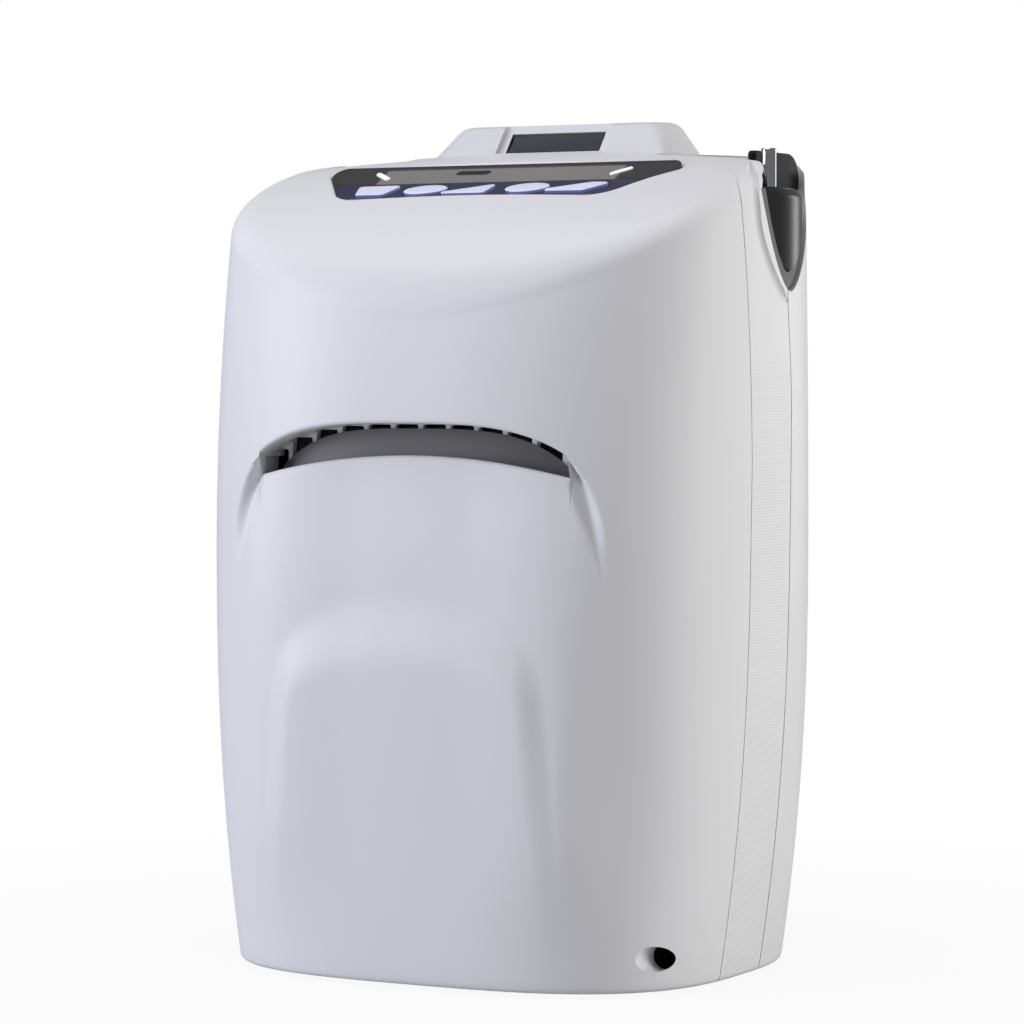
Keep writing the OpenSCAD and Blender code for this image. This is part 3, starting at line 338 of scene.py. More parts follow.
def front_face(x, z):
    across = min(1.0, abs(x) / half_width(z))
    return -half_depth(z, True) * (1 - across ** plan_power) ** (1 / plan_power)


roof_brow = 244
roof_flat = 28
roof_run = 104
roof_round = 7
roof_roll = 0.085
roof_camber = 4.5


def roof_height(x, y):
    u = min(1.0, max(0.0, (roof_flat - y) / roof_run))
    arch = (case_crown - roof_brow) * (1 - u ** 1.6) ** 0.625
    return roof_brow + arch - roof_camber * (x / case_half_wide) ** 2


def rim_height(t, inset):
    z = roof_brow
    for step in range(8):
        r = plan_radius(t, z, inset)
        z = roof_height(r * math.cos(t), r * math.sin(t)) - inset - roof_round
    return z


def ease(a, b, v):
    t = min(1.0, max(0.0, (v - a) / (b - a)))
    return t * t * (3 - 2 * t)


mouth_half = 63
mouth_floor = 178
mouth_depth = 13
hood_half = 77
hood_rise = 51.5
hood_power = 3.1
lip_round = 1.2
lip_step = 0.9
tongue_foot = 8
tongue_level = 190
tongue_bow = 7.5
tongue_fall = 5.9
tongue_round = 1.5
tongue_thick = 2.4
panel_half = 45
panel_top = 114
flank_fall = 3.4


def tongue_edge(x):
    return tongue_level - tongue_bow * (x / mouth_half) ** 2


def arch_height(x):
    across = min(1.0, abs(x) / hood_half)
    return case_waist + hood_rise * (1 - across ** hood_power) ** (1 / hood_power)


def arch_half(z):
    rise = min(hood_rise - 0.1, max(0.0, z - case_waist)) / hood_rise
    return hood_half * (1 - rise ** hood_power) ** (1 / hood_power)


def tongue_depth(x, z):
    off = abs(x)
    # The raised panel has a bowed top and widens towards the foot.
    spread = 0.09 * (panel_top + 2 - z)
    bowed = z + 16 * (off / 52) ** 3
    raised = 1 - ease(panel_top, panel_top + 26, bowed)
    raised *= 1 - ease(panel_half + spread, panel_half + 10 + spread, off)
    # The tongue sinks towards the mouth and fades out across its flanks.
    climb = max(0.0, z - tongue_foot) / (tongue_level - tongue_foot)
    deep = tongue_fall * climb ** 1.15 * (1 - 0.92 * raised) + 1.4 * ease(130, 192, z)
    deep -= 4.6 * ease(18, 74, off) * ease(tongue_foot, 60, z)
    deep *= 1 - ease(60, 80, off)
    # Beside the tongue, the flank turns in under the hood.
    side = 61 + 0.33 * max(0.0, 184 - z)
    hood = arch_half(z)
    if side < off < hood:
        share = (off - side) / (hood - side)
        deep += flank_fall * ease(0, 0.45, share) * (1 - ease(0.3, 1, share)) * ease(136, 188, z)
    return deep


def inner_depth(x, z):
    off = abs(x)
    return tongue_depth(x, z) + 3.2 * ease(52, 60, off) * (1 - ease(80, 90, off)) * ease(100, 122, z)


def no_depth(x, z):
    return 0.0


def wall_point(t, z, inset, deep=0.0):
    r = plan_radius(t, z, inset)
    return (r * math.cos(t), r * math.sin(t) + deep, z)


def foot_rows(t, inset):
    rows = []
    for step in range(4):
        a = step * math.pi / 8
        z = case_foot - foot_round * math.cos(a)
        rows.append(wall_point(t, z, inset + foot_round * (1 - math.sin(a))))
    return rows


def roof_rows(t, inset, count):
    rows = []
    r = plan_radius(t, rim_height(t, inset), inset)
    for step in range(1, 9):
        a = step * math.pi / 16
        f = 1 - roof_roll * (1 - math.cos(a))
        x, y = r * f * math.cos(t), r * f * math.sin(t)
        rows.append((x, y, roof_height(x, y) - inset - roof_round * (1 - math.sin(a))))
    for step in range(1, count + 1):
        f = (1 - roof_roll) * (1 - step / count)
        x, y = r * f * math.cos(t), r * f * math.sin(t)
        rows.append((x, y, roof_height(x, y) - inset))
    return rows


def plain_column(t, inset, walls, caps):
    rows = foot_rows(t, inset)
    tall = rim_height(t, inset) - case_foot
    rows += [wall_point(t, case_foot + tall * step / walls, inset) for step in range(walls + 1)]
    return rows + roof_rows(t, inset, caps)


def hood_column(t):
    at = plan_radius(t, tongue_level, 0) * math.cos(t)
    before = math.sin(t) < 0
    mouth = before and abs(at) < mouth_half
    lip = arch_height(at) if before else case_waist
    sunk = tongue_depth if before else no_depth
    edge = tongue_edge(at) - tongue_round if mouth else lip - lip_step
    soft = 2.5 + max(0.0, abs(at) - mouth_half)
    rows = foot_rows(t, 0)
    for step in range(101):
        z = case_foot + (edge - case_foot) * step / 100
        x = wall_point(t, z, 0)[0]
        keep = 1.0 if mouth else 1 - ease(edge - soft, edge, z)
        rows.append(wall_point(t, z, 0, keep * sunk(x, z)))
    if mouth:
        deep = sunk(at, edge)
        for step in range(1, 7):
            a = step * math.pi / 12
            z = edge + tongue_round * math.sin(a)
            rows.append(wall_point(t, z, 0, deep + tongue_round * (1 - math.cos(a))))
        rows.append(wall_point(t, edge + tongue_round, 0, deep + tongue_thick))
        rows.append(wall_point(t, mouth_floor, 0, deep + tongue_thick))
        tall = lip - (mouth_floor + 0.3)
        rows += [wall_point(t, mouth_floor + tall * step / 8, 0, mouth_depth) for step in range(9)]
        for step in range(1, 5):
            rows.append(wall_point(t, lip - 0.05 * (4 - step), 0, mouth_depth - 2.95 * step))
    else:
        rows += [wall_point(t, lip - lip_step + 0.02 * step, 0) for step in range(1, 22)]
    fall = lip_round if mouth else 0.0
    rise = lip_round if mouth else 0.3
    for step in range(1, 7):
        a = step * math.pi / 12
        rows.append(wall_point(t, lip + rise * (1 - math.cos(a)), 0, fall * (1 - math.sin(a))))
    low = lip + rise
    tall = rim_height(t, 0) - low
    rows += [wall_point(t, low + tall * step / 44, 0) for step in range(1, 45)]
    return rows + roof_rows(t, 0, 44)


def hollow_column(t, walls, caps):
    at = plan_radius(t, tongue_level, case_wall) * math.cos(t)
    before = math.sin(t) < 0
    mouth = before and abs(at) < mouth_half + 3
    lip = arch_height(at) + case_wall if before else case_waist + case_wall
    sunk = inner_depth if before else no_depth
    edge = mouth_floor - 4 if mouth else lip - lip_step
    rows = []
    for step in range(walls + 1):
        z = case_foot + (edge - case_foot) * step / walls
        x = wall_point(t, z, case_wall)[0]
        rows.append(wall_point(t, z, case_wall, sunk(x, z)))
    inner = mouth_depth if mouth else sunk(at, lip)
    low = mouth_floor - 3 if mouth else lip - 0.8
    rows += [wall_point(t, low + (lip - low) * step / 4, case_wall, inner) for step in range(5)]
    low = lip + 0.4
    tall = rim_height(t, case_wall) - low
    rows += [wall_point(t, low + tall * step / 8, case_wall) for step in range(9)]
    return rows + roof_rows(t, case_wall, caps)


def wrapped_grid(wide, high, point, merge):
    bm = bmesh.new()
    bmesh.ops.create_grid(bm, x_segments=wide, y_segments=high - 1, size=1.0)
    for v in bm.verts:
        i = round((v.co.x + 1) / 2 * wide) % wide
        j = round((v.co.y + 1) / 2 * (high - 1))
        v.co = Vector(point(i, j)) * mm
    bmesh.ops.remove_doubles(bm, verts=bm.verts[:], dist=merge)
    return bm


def skin_solid(turns, column):
    columns = [column(t) for t in turns]
    bm = wrapped_grid(len(turns), len(columns[0]), lambda i, j: columns[i][j], 2e-6)
    bmesh.ops.edgeloop_fill(bm, edges=[e for e in bm.edges if e.is_boundary])
    bmesh.ops.recalc_face_normals(bm, faces=bm.faces[:])
    return bm


def even_turns(front, rear):
    turns = [-(i + 0.5) * math.pi / front for i in range(front)]
    return turns + [-math.pi - (i + 0.5) * math.pi / rear for i in range(rear)]


def plain_skin(front, rear, inset, walls, caps):
    return skin_solid(even_turns(front, rear), lambda t: plain_column(t, inset, walls, caps))


def as_object(bm, name):
    mesh = bpy.data.meshes.new(name)
    bm.to_mesh(mesh)
    bm.free()
    piece = bpy.data.objects.new(name, mesh)
    scene.collection.objects.link(piece)
    return piece


def carve(piece, tool_bm, operation="DIFFERENCE"):
    tool = as_object(tool_bm, "tool")
    step = piece.modifiers.new("carve", "BOOLEAN")
    step.operation = operation
    step.solver = "MANIFOLD"
    step.object = tool
    graph = bpy.context.evaluated_depsgraph_get()
    carved = bpy.data.meshes.new_from_object(piece.evaluated_get(graph))
    piece.modifiers.clear()
    old = piece.data
    piece.data = carved
    carved.name = piece.name
    bpy.data.meshes.remove(old)
    bpy.data.objects.remove(tool)


def prism(outline, axis, start, end):
    bm = bmesh.new()
    ring = []
    for a, b in outline:
        place = (start, a, b) if axis == "X" else (a, start, b) if axis == "Y" else (a, b, start)
        ring.append(bm.verts.new(Vector(place) * mm))
    face = bm.faces.new(ring)
    made = bmesh.ops.extrude_face_region(bm, geom=[face])
    far = [v for v in made["geom"] if isinstance(v, bmesh.types.BMVert)]
    push = {"X": (1, 0, 0), "Y": (0, 1, 0), "Z": (0, 0, 1)}[axis]
    bmesh.ops.translate(bm, verts=far, vec=Vector(push) * (end - start) * mm)
    bmesh.ops.recalc_face_normals(bm, faces=bm.faces[:])
    return bm


seam_knee = 185
seam_turn = 279.3


def seam_front(z):
    if z > seam_turn:
        return min(10.5, -21 + 39 * ((z - seam_turn) / 20) ** 2.25)
    if z < seam_knee:
        return -15.5 - 5.2 * ((seam_knee - z) / 170) ** 0.9
    return -15.5 - 5.5 * ((z - seam_knee) / (seam_turn - seam_knee)) ** 2


def seam_rear(z):
    return 11 + 0.037 * z - 4.5 * math.exp(-((z - 250) / 25) ** 2)


under_case = -10
over_case = 322
beyond_case = 170
case_span = 2 * case_half_wide
seam_heights = [under_case + 5 * i for i in range(57)]
seam_heights += [seam_turn + 0.7 * i for i in range(30)]
seam_heights += [case_crown, over_case]


def front_of_seam(gap):
    outline = [(seam_front(z) - gap, z) for z in seam_heights]
    outline += [(-beyond_case, over_case), (-beyond_case, under_case)]
    return prism(outline, "X", -case_span, case_span)


def clockwise(line):
    area = sum(line[i - 1][0] * line[i][1] - line[i][0] * line[i - 1][1] for i in range(len(line)))
    return area < 0


def hull_outline(circles, spacing):
    points = []
    for x, y, r in circles:
        for i in range(96):
            a = i * math.pi / 48
            points.append((x + r * math.cos(a), y + r * math.sin(a)))
    hull = [points[i] for i in geometry.convex_hull_2d(points)]
    if clockwise(hull):
        hull.reverse()
    line = []
    for i in range(len(hull)):
        a, b = Vector(hull[i]), Vector(hull[(i + 1) % len(hull)])
        parts = max(1, round((b - a).length / spacing))
        line += [tuple(a.lerp(b, k / parts)) for k in range(parts)]
    return line


def recess_outline(grow):
    ends = [(side * 46.5, -18.5, 16 + grow) for side in (-1, 1)]
    return hull_outline(ends + [(side * 68, -7, 5 + grow) for side in (-1, 1)], 1.5)


def loft(rings):
    bm = wrapped_grid(len(rings[0]), len(rings), lambda i, j: rings[j][i], 1e-7)
    bmesh.ops.holes_fill(bm, edges=[e for e in bm.edges if e.is_boundary], sides=0)
    bmesh.ops.recalc_face_normals(bm, faces=bm.faces[:])
    return bm


def grown(line, grow):
    made = []
    count = len(line)
    for i in range(count):
        a, b = Vector(line[i - 1]), Vector(line[(i + 1) % count])
        along = (b - a).normalized()
        made.append((line[i][0] + along.y * grow, line[i][1] - along.x * grow))
    return made


def recess_tool():
    line = recess_outline(0)
    rim = 1.3
    wide_line = grown(line, 3.4)
    rings = [[(x, y, 262) for x, y in line], [(x, y, roof_height(x, y) - rim) for x, y in line]]
    for step in range(1, 6):
        a = math.radians(15 * step)
        ring = grown(line, rim * (1 - math.cos(a)))
        rings.append([(x, y, roof_height(x, y) - rim * (1 - math.sin(a))) for x, y in ring])
    rings.append([(x, y, roof_height(x, y) + 0.6) for x, y in wide_line])
    rings.append([(x, y, 330) for x, y in wide_line])
    return loft(rings)


def rounded_bar(x, y1, y2, z, wide, high):
    bm = bmesh.new()
    bmesh.ops.create_cube(bm, size=1.0)
    bmesh.ops.scale(bm, vec=(wide * mm, (y2 - y1) * mm, high * mm), verts=bm.verts[:])
    long_edges = [e for e in bm.edges if abs(e.verts[0].co.y - e.verts[1].co.y) > 1e-5]
    bmesh.ops.bevel(bm, geom=long_edges, offset=0.9 * mm, segments=3, profile=0.5, affect="EDGES",
        material=-1)
    bmesh.ops.translate(bm, verts=bm.verts[:], vec=Vector((x, (y1 + y2) / 2, z)) * mm)
    return bm


def round_rod(start, end, radius, segments=48):
    bm = bmesh.new()
    a, b = Vector(start) * mm, Vector(end) * mm
    bmesh.ops.create_cone(bm, cap_ends=True, segments=segments, radius1=radius * mm, radius2=radius * mm,
        depth=(b - a).length)
    turn = (b - a).to_track_quat("Z", "Y").to_matrix().to_4x4()
    bmesh.ops.transform(bm, matrix=Matrix.Translation((a + b) / 2) @ turn, verts=bm.verts[:])
    return bm


def front_turns():
    # Columns stand closer where the flank runs out under the end of the hood.
    first = 57
    last = 78
    marks = [first + (last - first) * i / 54 for i in range(55)]
    marks = [x for x in marks if abs(x - mouth_half) > 0.35]
    marks += [mouth_half - 0.15, mouth_half + 0.1]
    ends = [math.atan2(front_face(x, tongue_level), x) for x in (first - 0.4, last + 0.4)]
    turns = []
    for t in even_turns(180, 56):
        fold = max(t, -math.pi - t)
        if not min(ends) < fold < max(ends):
            turns.append(t)
    for side in (-1, 1):
        turns += [math.atan2(front_face(x, tongue_level), side * x) for x in marks]
    return sorted(turns, reverse=True)


front_cover = as_object(skin_solid(front_turns(), hood_column), "front_cover_skin")
carve(front_cover, skin_solid(even_turns(72, 24), lambda t: hollow_column(t, 30, 16)))
carve(front_cover, front_of_seam(0.3), "INTERSECT")
base_line = []
for i in range(128):
    t = i * math.pi / 64
    r = plan_radius(t, 1.5, 9)
    base_line.append((r * math.cos(t), r * math.sin(t)))


def carve_base(piece):
    carve(piece, prism(base_line, "Z", -18.5, 6.5))


carve_base(front_cover)
carve(front_cover, recess_tool())
inlet_x = 86.5
inlet_z = 13.5
boss_rod = round_rod((inlet_x, -80, inlet_z), (inlet_x, -33, inlet_z), 6.8, 64)
boss = as_object(boss_rod, "inlet_boss")
carve(boss, plain_skin(160, 24, 0.8, 40, 8), "INTERSECT")
boss_bm = bmesh.new()
boss_bm.from_mesh(boss.data)
bpy.data.objects.remove(boss)
carve(front_cover, boss_bm, "UNION")


def carve_slot(x, middle, wide, tall):
    back = front_face(x, 195)
    carve(front_cover, rounded_bar(x, back + 10, back + 22, middle, wide, tall))


slot_count = 10
slot_pitch = 11.3
slot_wide = 9.5
end_slot = 59.7
for i in range(slot_count):
    x = (i - (slot_count - 1) / 2) * slot_pitch
    tall = 7.2 + 5 * (x / 56) ** 4
    carve_slot(x, arch_height(x) - 0.5 - tall / 2, slot_wide, tall)
for x in (-end_slot, end_slot):
    carve_slot(x, arch_height(x) - 7.5, 4.6, 13)
carve(front_cover, rounded_bar(-60.9, -71.5, -55, 185.2, 7.0, 7.6))
carve(front_cover, round_rod((inlet_x, -95, inlet_z), (inlet_x, -30, inlet_z), 4.6, 96))


def mask_along(tree, direction, start, end):
    along = add_node(tree, "VectorMath")
    along.operation = "DOT_PRODUCT"
    along.inputs[1].default_value = direction
    tree.links.new(add_node(tree, "TexCoord").outputs["Object"], along.inputs[0])
    span = add_node(tree, "MapRange", {"From Min": start, "From Max": end})
    tree.links.new(along.outputs["Value"], span.inputs["Value"])
    return span.outputs["Result"]


def shell_finish(name, ribs):
    paint = finish(name, (0.800, 0.800, 0.812), (0.780, 0.780, 0.795), (0.34, 0.43), grain=2600, mottle=14,
        bump=0.05, specular=0.28)
    tree = paint.node_tree
    if ribs:
        bands = add_texture(tree, "Wave", {"Scale": 300.0})
        bands.wave_type = "BANDS"
        bands.bands_direction = "Z"
        relief = tree.nodes["relief"]
        set_values(relief, {"Strength": 0.25, "Distance": 0.3 * mm})
        below = mask_along(tree, (0, 0, -1), -0.235, -0.215)
        tree.links.new(combine(tree, "MULTIPLY", bands.outputs["Fac"], below), relief.inputs["Height"])
    return paint


def place(piece, material, body, node, slot):
    piece.data.shade_smooth()
    piece.data.set_sharp_from_angle(angle=math.radians(32))
    piece.data.materials.clear()
    piece.data.materials.append(material)
    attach(piece, body)
    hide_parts(node)


white_shell = shell_finish("white_shell", False)
place(front_cover, white_shell, "case", "front_cover", "white_shell")

# Vent baffle: a moulded wall that stands at the back of the mouth, below the slots; it is painted grey as
# shade for the inside of the mouth.
# Its curved upper edge leaves the tops of the slots open; it is welded to the front cover.
baffle_half = 62.5
baffle_foot = mouth_floor + 0.2
baffle_bm = bmesh.new()
bmesh.ops.create_grid(baffle_bm, x_segments=100, y_segments=12, size=1.0)
for v in baffle_bm.verts:
    x = baffle_half * v.co.x
    high = arch_height(x) - 2.0 - 5.5 * (x / 60) ** 4
    z = baffle_foot + (high - baffle_foot) * (v.co.y + 1) / 2
    v.co = Vector((x, front_face(x, z) + 12.4, z)) * mm
bmesh.ops.recalc_face_normals(baffle_bm, faces=baffle_bm.faces[:])
bmesh.ops.solidify(baffle_bm, geom=baffle_bm.faces[:], thickness=1.2 * mm)
bmesh.ops.recalc_face_normals(baffle_bm, faces=baffle_bm.faces[:])
vent_baffle = as_object(baffle_bm, "vent_baffle_wall")
# The baffle's grey is painted shade: it stands in for the shade deep in the mouth.
grey_trim = finish("grey_trim", (0.115, 0.110, 0.112), (0.135, 0.130, 0.130), (0.42, 0.55), grain=1800,
    bump=0.1)
place(vent_baffle, grey_trim, "case", "vent_baffle", "grey_trim")


# Middle frame: the narrow white band between the parting lines, with fine moulded ribs.
# A V-shaped notch on its right side takes the shield; a groove follows the rim of the notch.
notch_y = 19
notch_z = 248.7
notch_rise = 36
steep_power = 1.85
shallow_power = 1.5


def notch_line(inset):
    line = [(13.1 + inset, 332), (13.1 + inset, 298), (5.1 + inset, 294), (-1.9 + inset, 290)]
    for i in range(-30, 31):
        u = i / 30
        wide = 25.5 if u < 0 else 33
        rise = notch_rise * abs(u) ** (steep_power if u < 0 else shallow_power)
        line.append((notch_y + (wide - inset) * u, notch_z + 1.75 * inset + rise))
    return line + [(52 - inset, 332)]


def curve_points(points, parts):
    path = []
    for i in range(len(points) - 1):
        a = Vector(points[max(0, i - 1)])
        b = Vector(points[i])
        c = Vector(points[i + 1])
        d = Vector(points[min(len(points) - 1, i + 2)])
        for k in range(parts):
            t = k / parts
            path.append(0.5 * (2 * b + (c - a) * t + (2 * a - 5 * b + 4 * c - d) * t * t
                + (3 * b - a - 3 * c + d) * t ** 3))
    return path + [Vector(points[-1])]


def tube_ring(centre, along, outward, radius, segments):
    side = along.cross(Vector(outward)).normalized()
    lift = side.cross(along)
    ring = []
    for k in range(segments):
        a = k * 2 * math.pi / segments
        ring.append(centre + radius * (side * math.cos(a) + lift * math.sin(a)))
    return ring


def sweep(path, radii, outward):
    rings = []
    for i in range(len(path)):
        along = (path[min(i + 1, len(path) - 1)] - path[max(i - 1, 0)]).normalized()
        rings.append(tube_ring(path[i], along, outward, radii[i], 24))
    return loft(rings)


def groove_tool():
    way = [(92.6, 10.2, 297.2), (99.2, -1.6, 293.4), (103.2, -8.1, 289.1)]
    for y, z in ((-10.8, 283.5), (-9.6, 277), (-8.5, 271.3), (-6.3, 266.4), (-3.5, 262.3), (-0.4, 258),
            (3.9, 253.3), (8.2, 249.4), (12.2, 246.6), (15.4, 245.2)):
        way.append((half_width(z) + 0.4, y, z))
    path = curve_points(way, 6)
    last = len(path) - 1
    groove_round = 2.6
    radii = [groove_round * min(1.0, 0.2 + i / 9, 0.34 + (last - i) / 14) for i in range(last + 1)]
    return sweep(path, radii, (1, 0, 0.3))


def box_tool(low, high):
    bm = bmesh.new()
    bmesh.ops.create_cube(bm, size=1.0)
    low, high = Vector(low) * mm, Vector(high) * mm
    bmesh.ops.scale(bm, vec=high - low, verts=bm.verts[:])
    bmesh.ops.translate(bm, verts=bm.verts[:], vec=(low + high) / 2)
    return bm


bay_near = 52.6
bay_far = 88.9
bay_front = 13.1
bay_rear = 50.9


def carve_bays(piece):
    for low, high in ((bay_near, bay_far), (-bay_far, -bay_near)):
        carve(piece, box_tool((low, bay_front, 277), (high, bay_rear, 337)))
    carve(piece, prism(notch_line(0), "X", 90.8, case_span))
    carve(piece, box_tool((87.9, bay_front, 286.5), (94.3, 53.4, 326.5)))


seam_gap = 0.35
middle_frame = as_object(plain_skin(150, 150, 0, 150, 60), "middle_frame_band")
carve(middle_frame, plain_skin(40, 40, case_wall, 16, 16))
between = [(seam_front(z) + 0.2, z) for z in seam_heights]
between += [(seam_rear(z) - seam_gap, z) for z in reversed(seam_heights)]
carve(middle_frame, prism(between, "X", -case_span, case_span), "INTERSECT")
carve_base(middle_frame)
carve_bays(middle_frame)
carve(middle_frame, prism(recess_outline(2.4), "Z", 270, 330))
carve(middle_frame, groove_tool())
white_ribbed = shell_finish("white_ribbed", True)
place(middle_frame, white_ribbed, "case", "middle_frame", "white_shell")

# Rear cover: the white rear housing with the deck of the display, the bays and the air intake.
# It is moulded in one piece and screwed to the chassis from below.
rear_cover = as_object(plain_skin(20, 200, 0, 120, 60), "rear_cover_skin")
carve(rear_cover, plain_skin(12, 60, case_wall, 16, 16))
behind = [(seam_rear(z) + seam_gap, z) for z in seam_heights]
behind += [(beyond_case, over_case), (beyond_case, under_case)]
carve(rear_cover, prism(behind, "X", -case_span, case_span), "INTERSECT")
carve_base(rear_cover)
carve(rear_cover, box_tool((-42.4, 70.6, 55.6), (42.4, 180, 144.4)))
air_pitch = 6
for i in range(5):
    for side in (-1, 1):
        carve(rear_cover, rounded_bar(24 * side, 64, 104, 22 + air_pitch * i, 42.4, 2.4))
carve_bays(rear_cover)
carve(rear_cover, box_tool((-50.7, 28, 298), (50.7, 60, 330)))
place(rear_cover, white_shell, "case", "rear_cover", "white_shell")

# Filter cover: a louvred white lid that closes the air intake at the back.
# It is moulded to the curve of the rear cover and pulls straight off.
filter_cover = as_object(plain_skin(8, 160, 0, 160, 8), "filter_cover_lid")
corners = [(x, z, 1.5) for x in (-40.5, 40.5) for z in (57.5, 142.5)]
carve(filter_cover, prism(hull_outline(corners, 4.0), "Y", 79.2, 95), "INTERSECT")
for i in range(11):
    carve(filter_cover, rounded_bar(0, 70, 100, 70 + air_pitch * i, 66.8, 2.8))
place(filter_cover, white_shell, "filter_cover", "filter_cover", "white_shell")


# Key plate: a navy overlay in the recess of the roof, tilted 18 degrees to the front.
# The five keys come through it; it is clipped under the edge of the front cover.
def tilted(origin, degrees):
    return Matrix.Translation(origin) @ Matrix.Rotation(math.radians(degrees), 4, "X")


def slab(outline, steps, at):
    rings = []
    for high, grow in steps:
        rings.append([at @ Vector((x, y, high)) for x, y in grown(outline, grow)])
    return loft(rings)


def eased_top(low, high, radius):
    steps = [(low, 0.0)]
    for i in range(6):
        a = i * math.pi / 10
        steps.append((high - radius + radius * math.sin(a), radius * (math.cos(a) - 1)))
    return steps


def oval(wide, high, degrees):
    turn = math.radians(degrees)
    line = []
    for i in range(72):
        a = i * math.pi / 36
        x, y = wide * math.cos(a), high * math.sin(a)
        line.append((x * math.cos(turn) - y * math.sin(turn), x * math.sin(turn) + y * math.cos(turn)))
    return line


def box_line(x1, x2, y1, y2):
    return [(x1, y1), (x2, y1), (x2, y2), (x1, y2)]


plate_y = -34.5
plate_z = 282.845
plate_tilt = 18
on_plate = tilted((0, plate_y, plate_z), plate_tilt)


def key_place(x):
    return on_plate @ Matrix.Translation((x, 9, 0))


key_forms = {
    "key_power": (-44, hull_outline([(-7, 4, 1.6), (7, 4.5, 1.6), (-4, -4, 1.6), (5.5, -4, 1.6)], 0.8)),
    "key_down": (-22, oval(8.64, 5.4, 6)),
    "key_up": (-3.5, hull_outline([(-8.5, -4.4, 1.1), (7.5, -4.4, 1.1), (7.5, 3.8, 1.1)], 0.8)),
    "key_mode": (20.5, oval(8.64, 5.4, 6)),
    "key_mute": (41, hull_outline([(-10, -3.4, 1.6), (4, -3.6, 1.6), (9, 3.2, 1.6), (4, 3.6, 1.6)], 0.8)),
}
recess_block = recess_outline(-0.2)
key_panel = as_object(slab(box_line(-90, 90, -2, 20.6), [(-2, 0), (0, 0)], on_plate), "key_panel_overlay")
carve(key_panel, prism(recess_block, "Z", 250, 330), "INTERSECT")
for x, outline in key_forms.values():
    carve(key_panel, slab(grown(outline, 0.35), [(-4, 0), (2, 0)], key_place(x)))
navy_panel = finish("navy_panel", (0.020, 0.025, 0.070), (0.024, 0.029, 0.078), (0.30, 0.36), bump=0.03)
place(key_panel, navy_panel, "case", "key_panel", "navy_panel")


# Keys: five white caps with blue skirts and a faint painted glow that brightens them.
# Each is moulded in two shots and presses down through the overlay on to the switch board.
def two_tone(paint, mask, colour):
    tree = paint.node_tree
    mix = add_node(tree, "Mix")
    mix.data_type = "RGBA"
    mix.inputs["A"].default_value = (*colour, 1)
    tree.links.new(mask, mix.inputs["Factor"])
    tree.links.new(tree.nodes["skin"].outputs["Colour"], mix.inputs["B"])
    tree.links.new(mix.outputs["Result"], tree.nodes["Principled BSDF"].inputs["Base Color"])


white_key = finish("white_key", (0.78, 0.80, 0.93), (0.70, 0.73, 0.90), (0.30, 0.40), mottle=60, bump=0.05)
lean = math.radians(plate_tilt)
plate_level = (-plate_y * math.sin(lean) + plate_z * math.cos(lean)) * mm
mask = mask_along(white_key.node_tree, (0, -math.sin(lean), math.cos(lean)), plate_level + 0.00072,
    plate_level + 0.00095)
two_tone(white_key, mask, (0.030, 0.055, 0.42))


def glow_from(paint, colour, strength):
    shader = paint.node_tree.nodes["Principled BSDF"]
    set_values(shader, {"Emission Color": (*colour, 1), "Emission Strength": strength})


# Painted light: the caps glow faintly to look brighter; the glow is not a lamp.
glow_from(white_key, (0.82, 0.86, 1.0), 0.10)
for name, (x, outline) in key_forms.items():
    key = as_object(slab(outline, eased_top(-2.4, 1.2, 0.6), key_place(x)), name + "_cap")
    place(key, white_key, name, name, "white_key")

# Recess liner: the grey sloped wall behind the keys and the charcoal rim that lines the recess; the top of
# the wall carries a painted shadow.
# One moulding; a dark window and two light guides are pressed into its wall.
wall_y = -14.53
wall_z = 289.33
wall_tilt = 29.09
on_wall = tilted((0, wall_y, wall_z), wall_tilt)
wall_slope = math.tan(math.radians(wall_tilt))
key_bezel = as_object(slab(box_line(-90, 90, 0, 17.34), [(-2.4, 0), (0, 0)], on_wall), "key_bezel_liner")
carve(key_bezel, prism(recess_block, "Z", 250, 330), "INTERSECT")


def pill(wide, high):
    half = (wide - high) / 2
    return hull_outline([(-half, 0, high / 2), (half, 0, high / 2)], 0.8)


window_at = on_wall @ Matrix.Translation((-12, 7.89, 0))
guide_at = {}
for side in (-1, 1):
    turn = Matrix.Rotation(math.radians(35 * side), 4, "Z")
    guide_at[side] = on_wall @ Matrix.Translation((50 * side, 6.45, 0)) @ turn
carve(key_bezel, slab(pill(14.4, 3.4), [(-1.5, 0), (3, 0)], window_at))
for side in (-1, 1):
    carve(key_bezel, slab(pill(9.4, 2.6), [(-1.5, 0), (3, 0)], guide_at[side]))


liner_foot = 282.9


def liner_ring(line, lift):
    ring = []
    for x, y in line:
        low = wall_z + 0.05 + (y - wall_y) * wall_slope
        if y < wall_y:
            low = liner_foot + (y - plate_y) * math.tan(lean)
        high = max(low + 0.05, roof_height(x, y) - 1.5)
        ring.append((x, y, high if lift else low))
    return ring


inner_line = grown(recess_block, -0.9)
liner = loft([liner_ring(recess_block, False), liner_ring(recess_block, True), liner_ring(inner_line, True),
    liner_ring(inner_line, False), liner_ring(recess_block, False)])
liner.from_mesh(key_bezel.data)
liner.to_mesh(key_bezel.data)
liner.free()
liner_grey = finish("liner_grey", (0.200, 0.190, 0.172), (0.240, 0.228, 0.208), (0.40, 0.52), bump=0.1)
tree = liner_grey.node_tree
right_end = mask_along(tree, (1, 0, 0), 0.0495, 0.0505)
left_end = mask_along(tree, (-1, 0, 0), 0.0495, 0.0505)
# Painted shadow: the top of the grey wall, under the edge of the roof, is painted charcoal.
painted_shadow_top = mask_along(tree, (0, 1, 0), -0.0052, -0.0042)
ends = combine(tree, "MAXIMUM", right_end, left_end)
middle = combine(tree, "SUBTRACT", 1.0, combine(tree, "MAXIMUM", ends, painted_shadow_top))
two_tone(liner_grey, middle, (0.030, 0.030, 0.029))
place(key_bezel, liner_grey, "case", "key_bezel", "grey_trim")

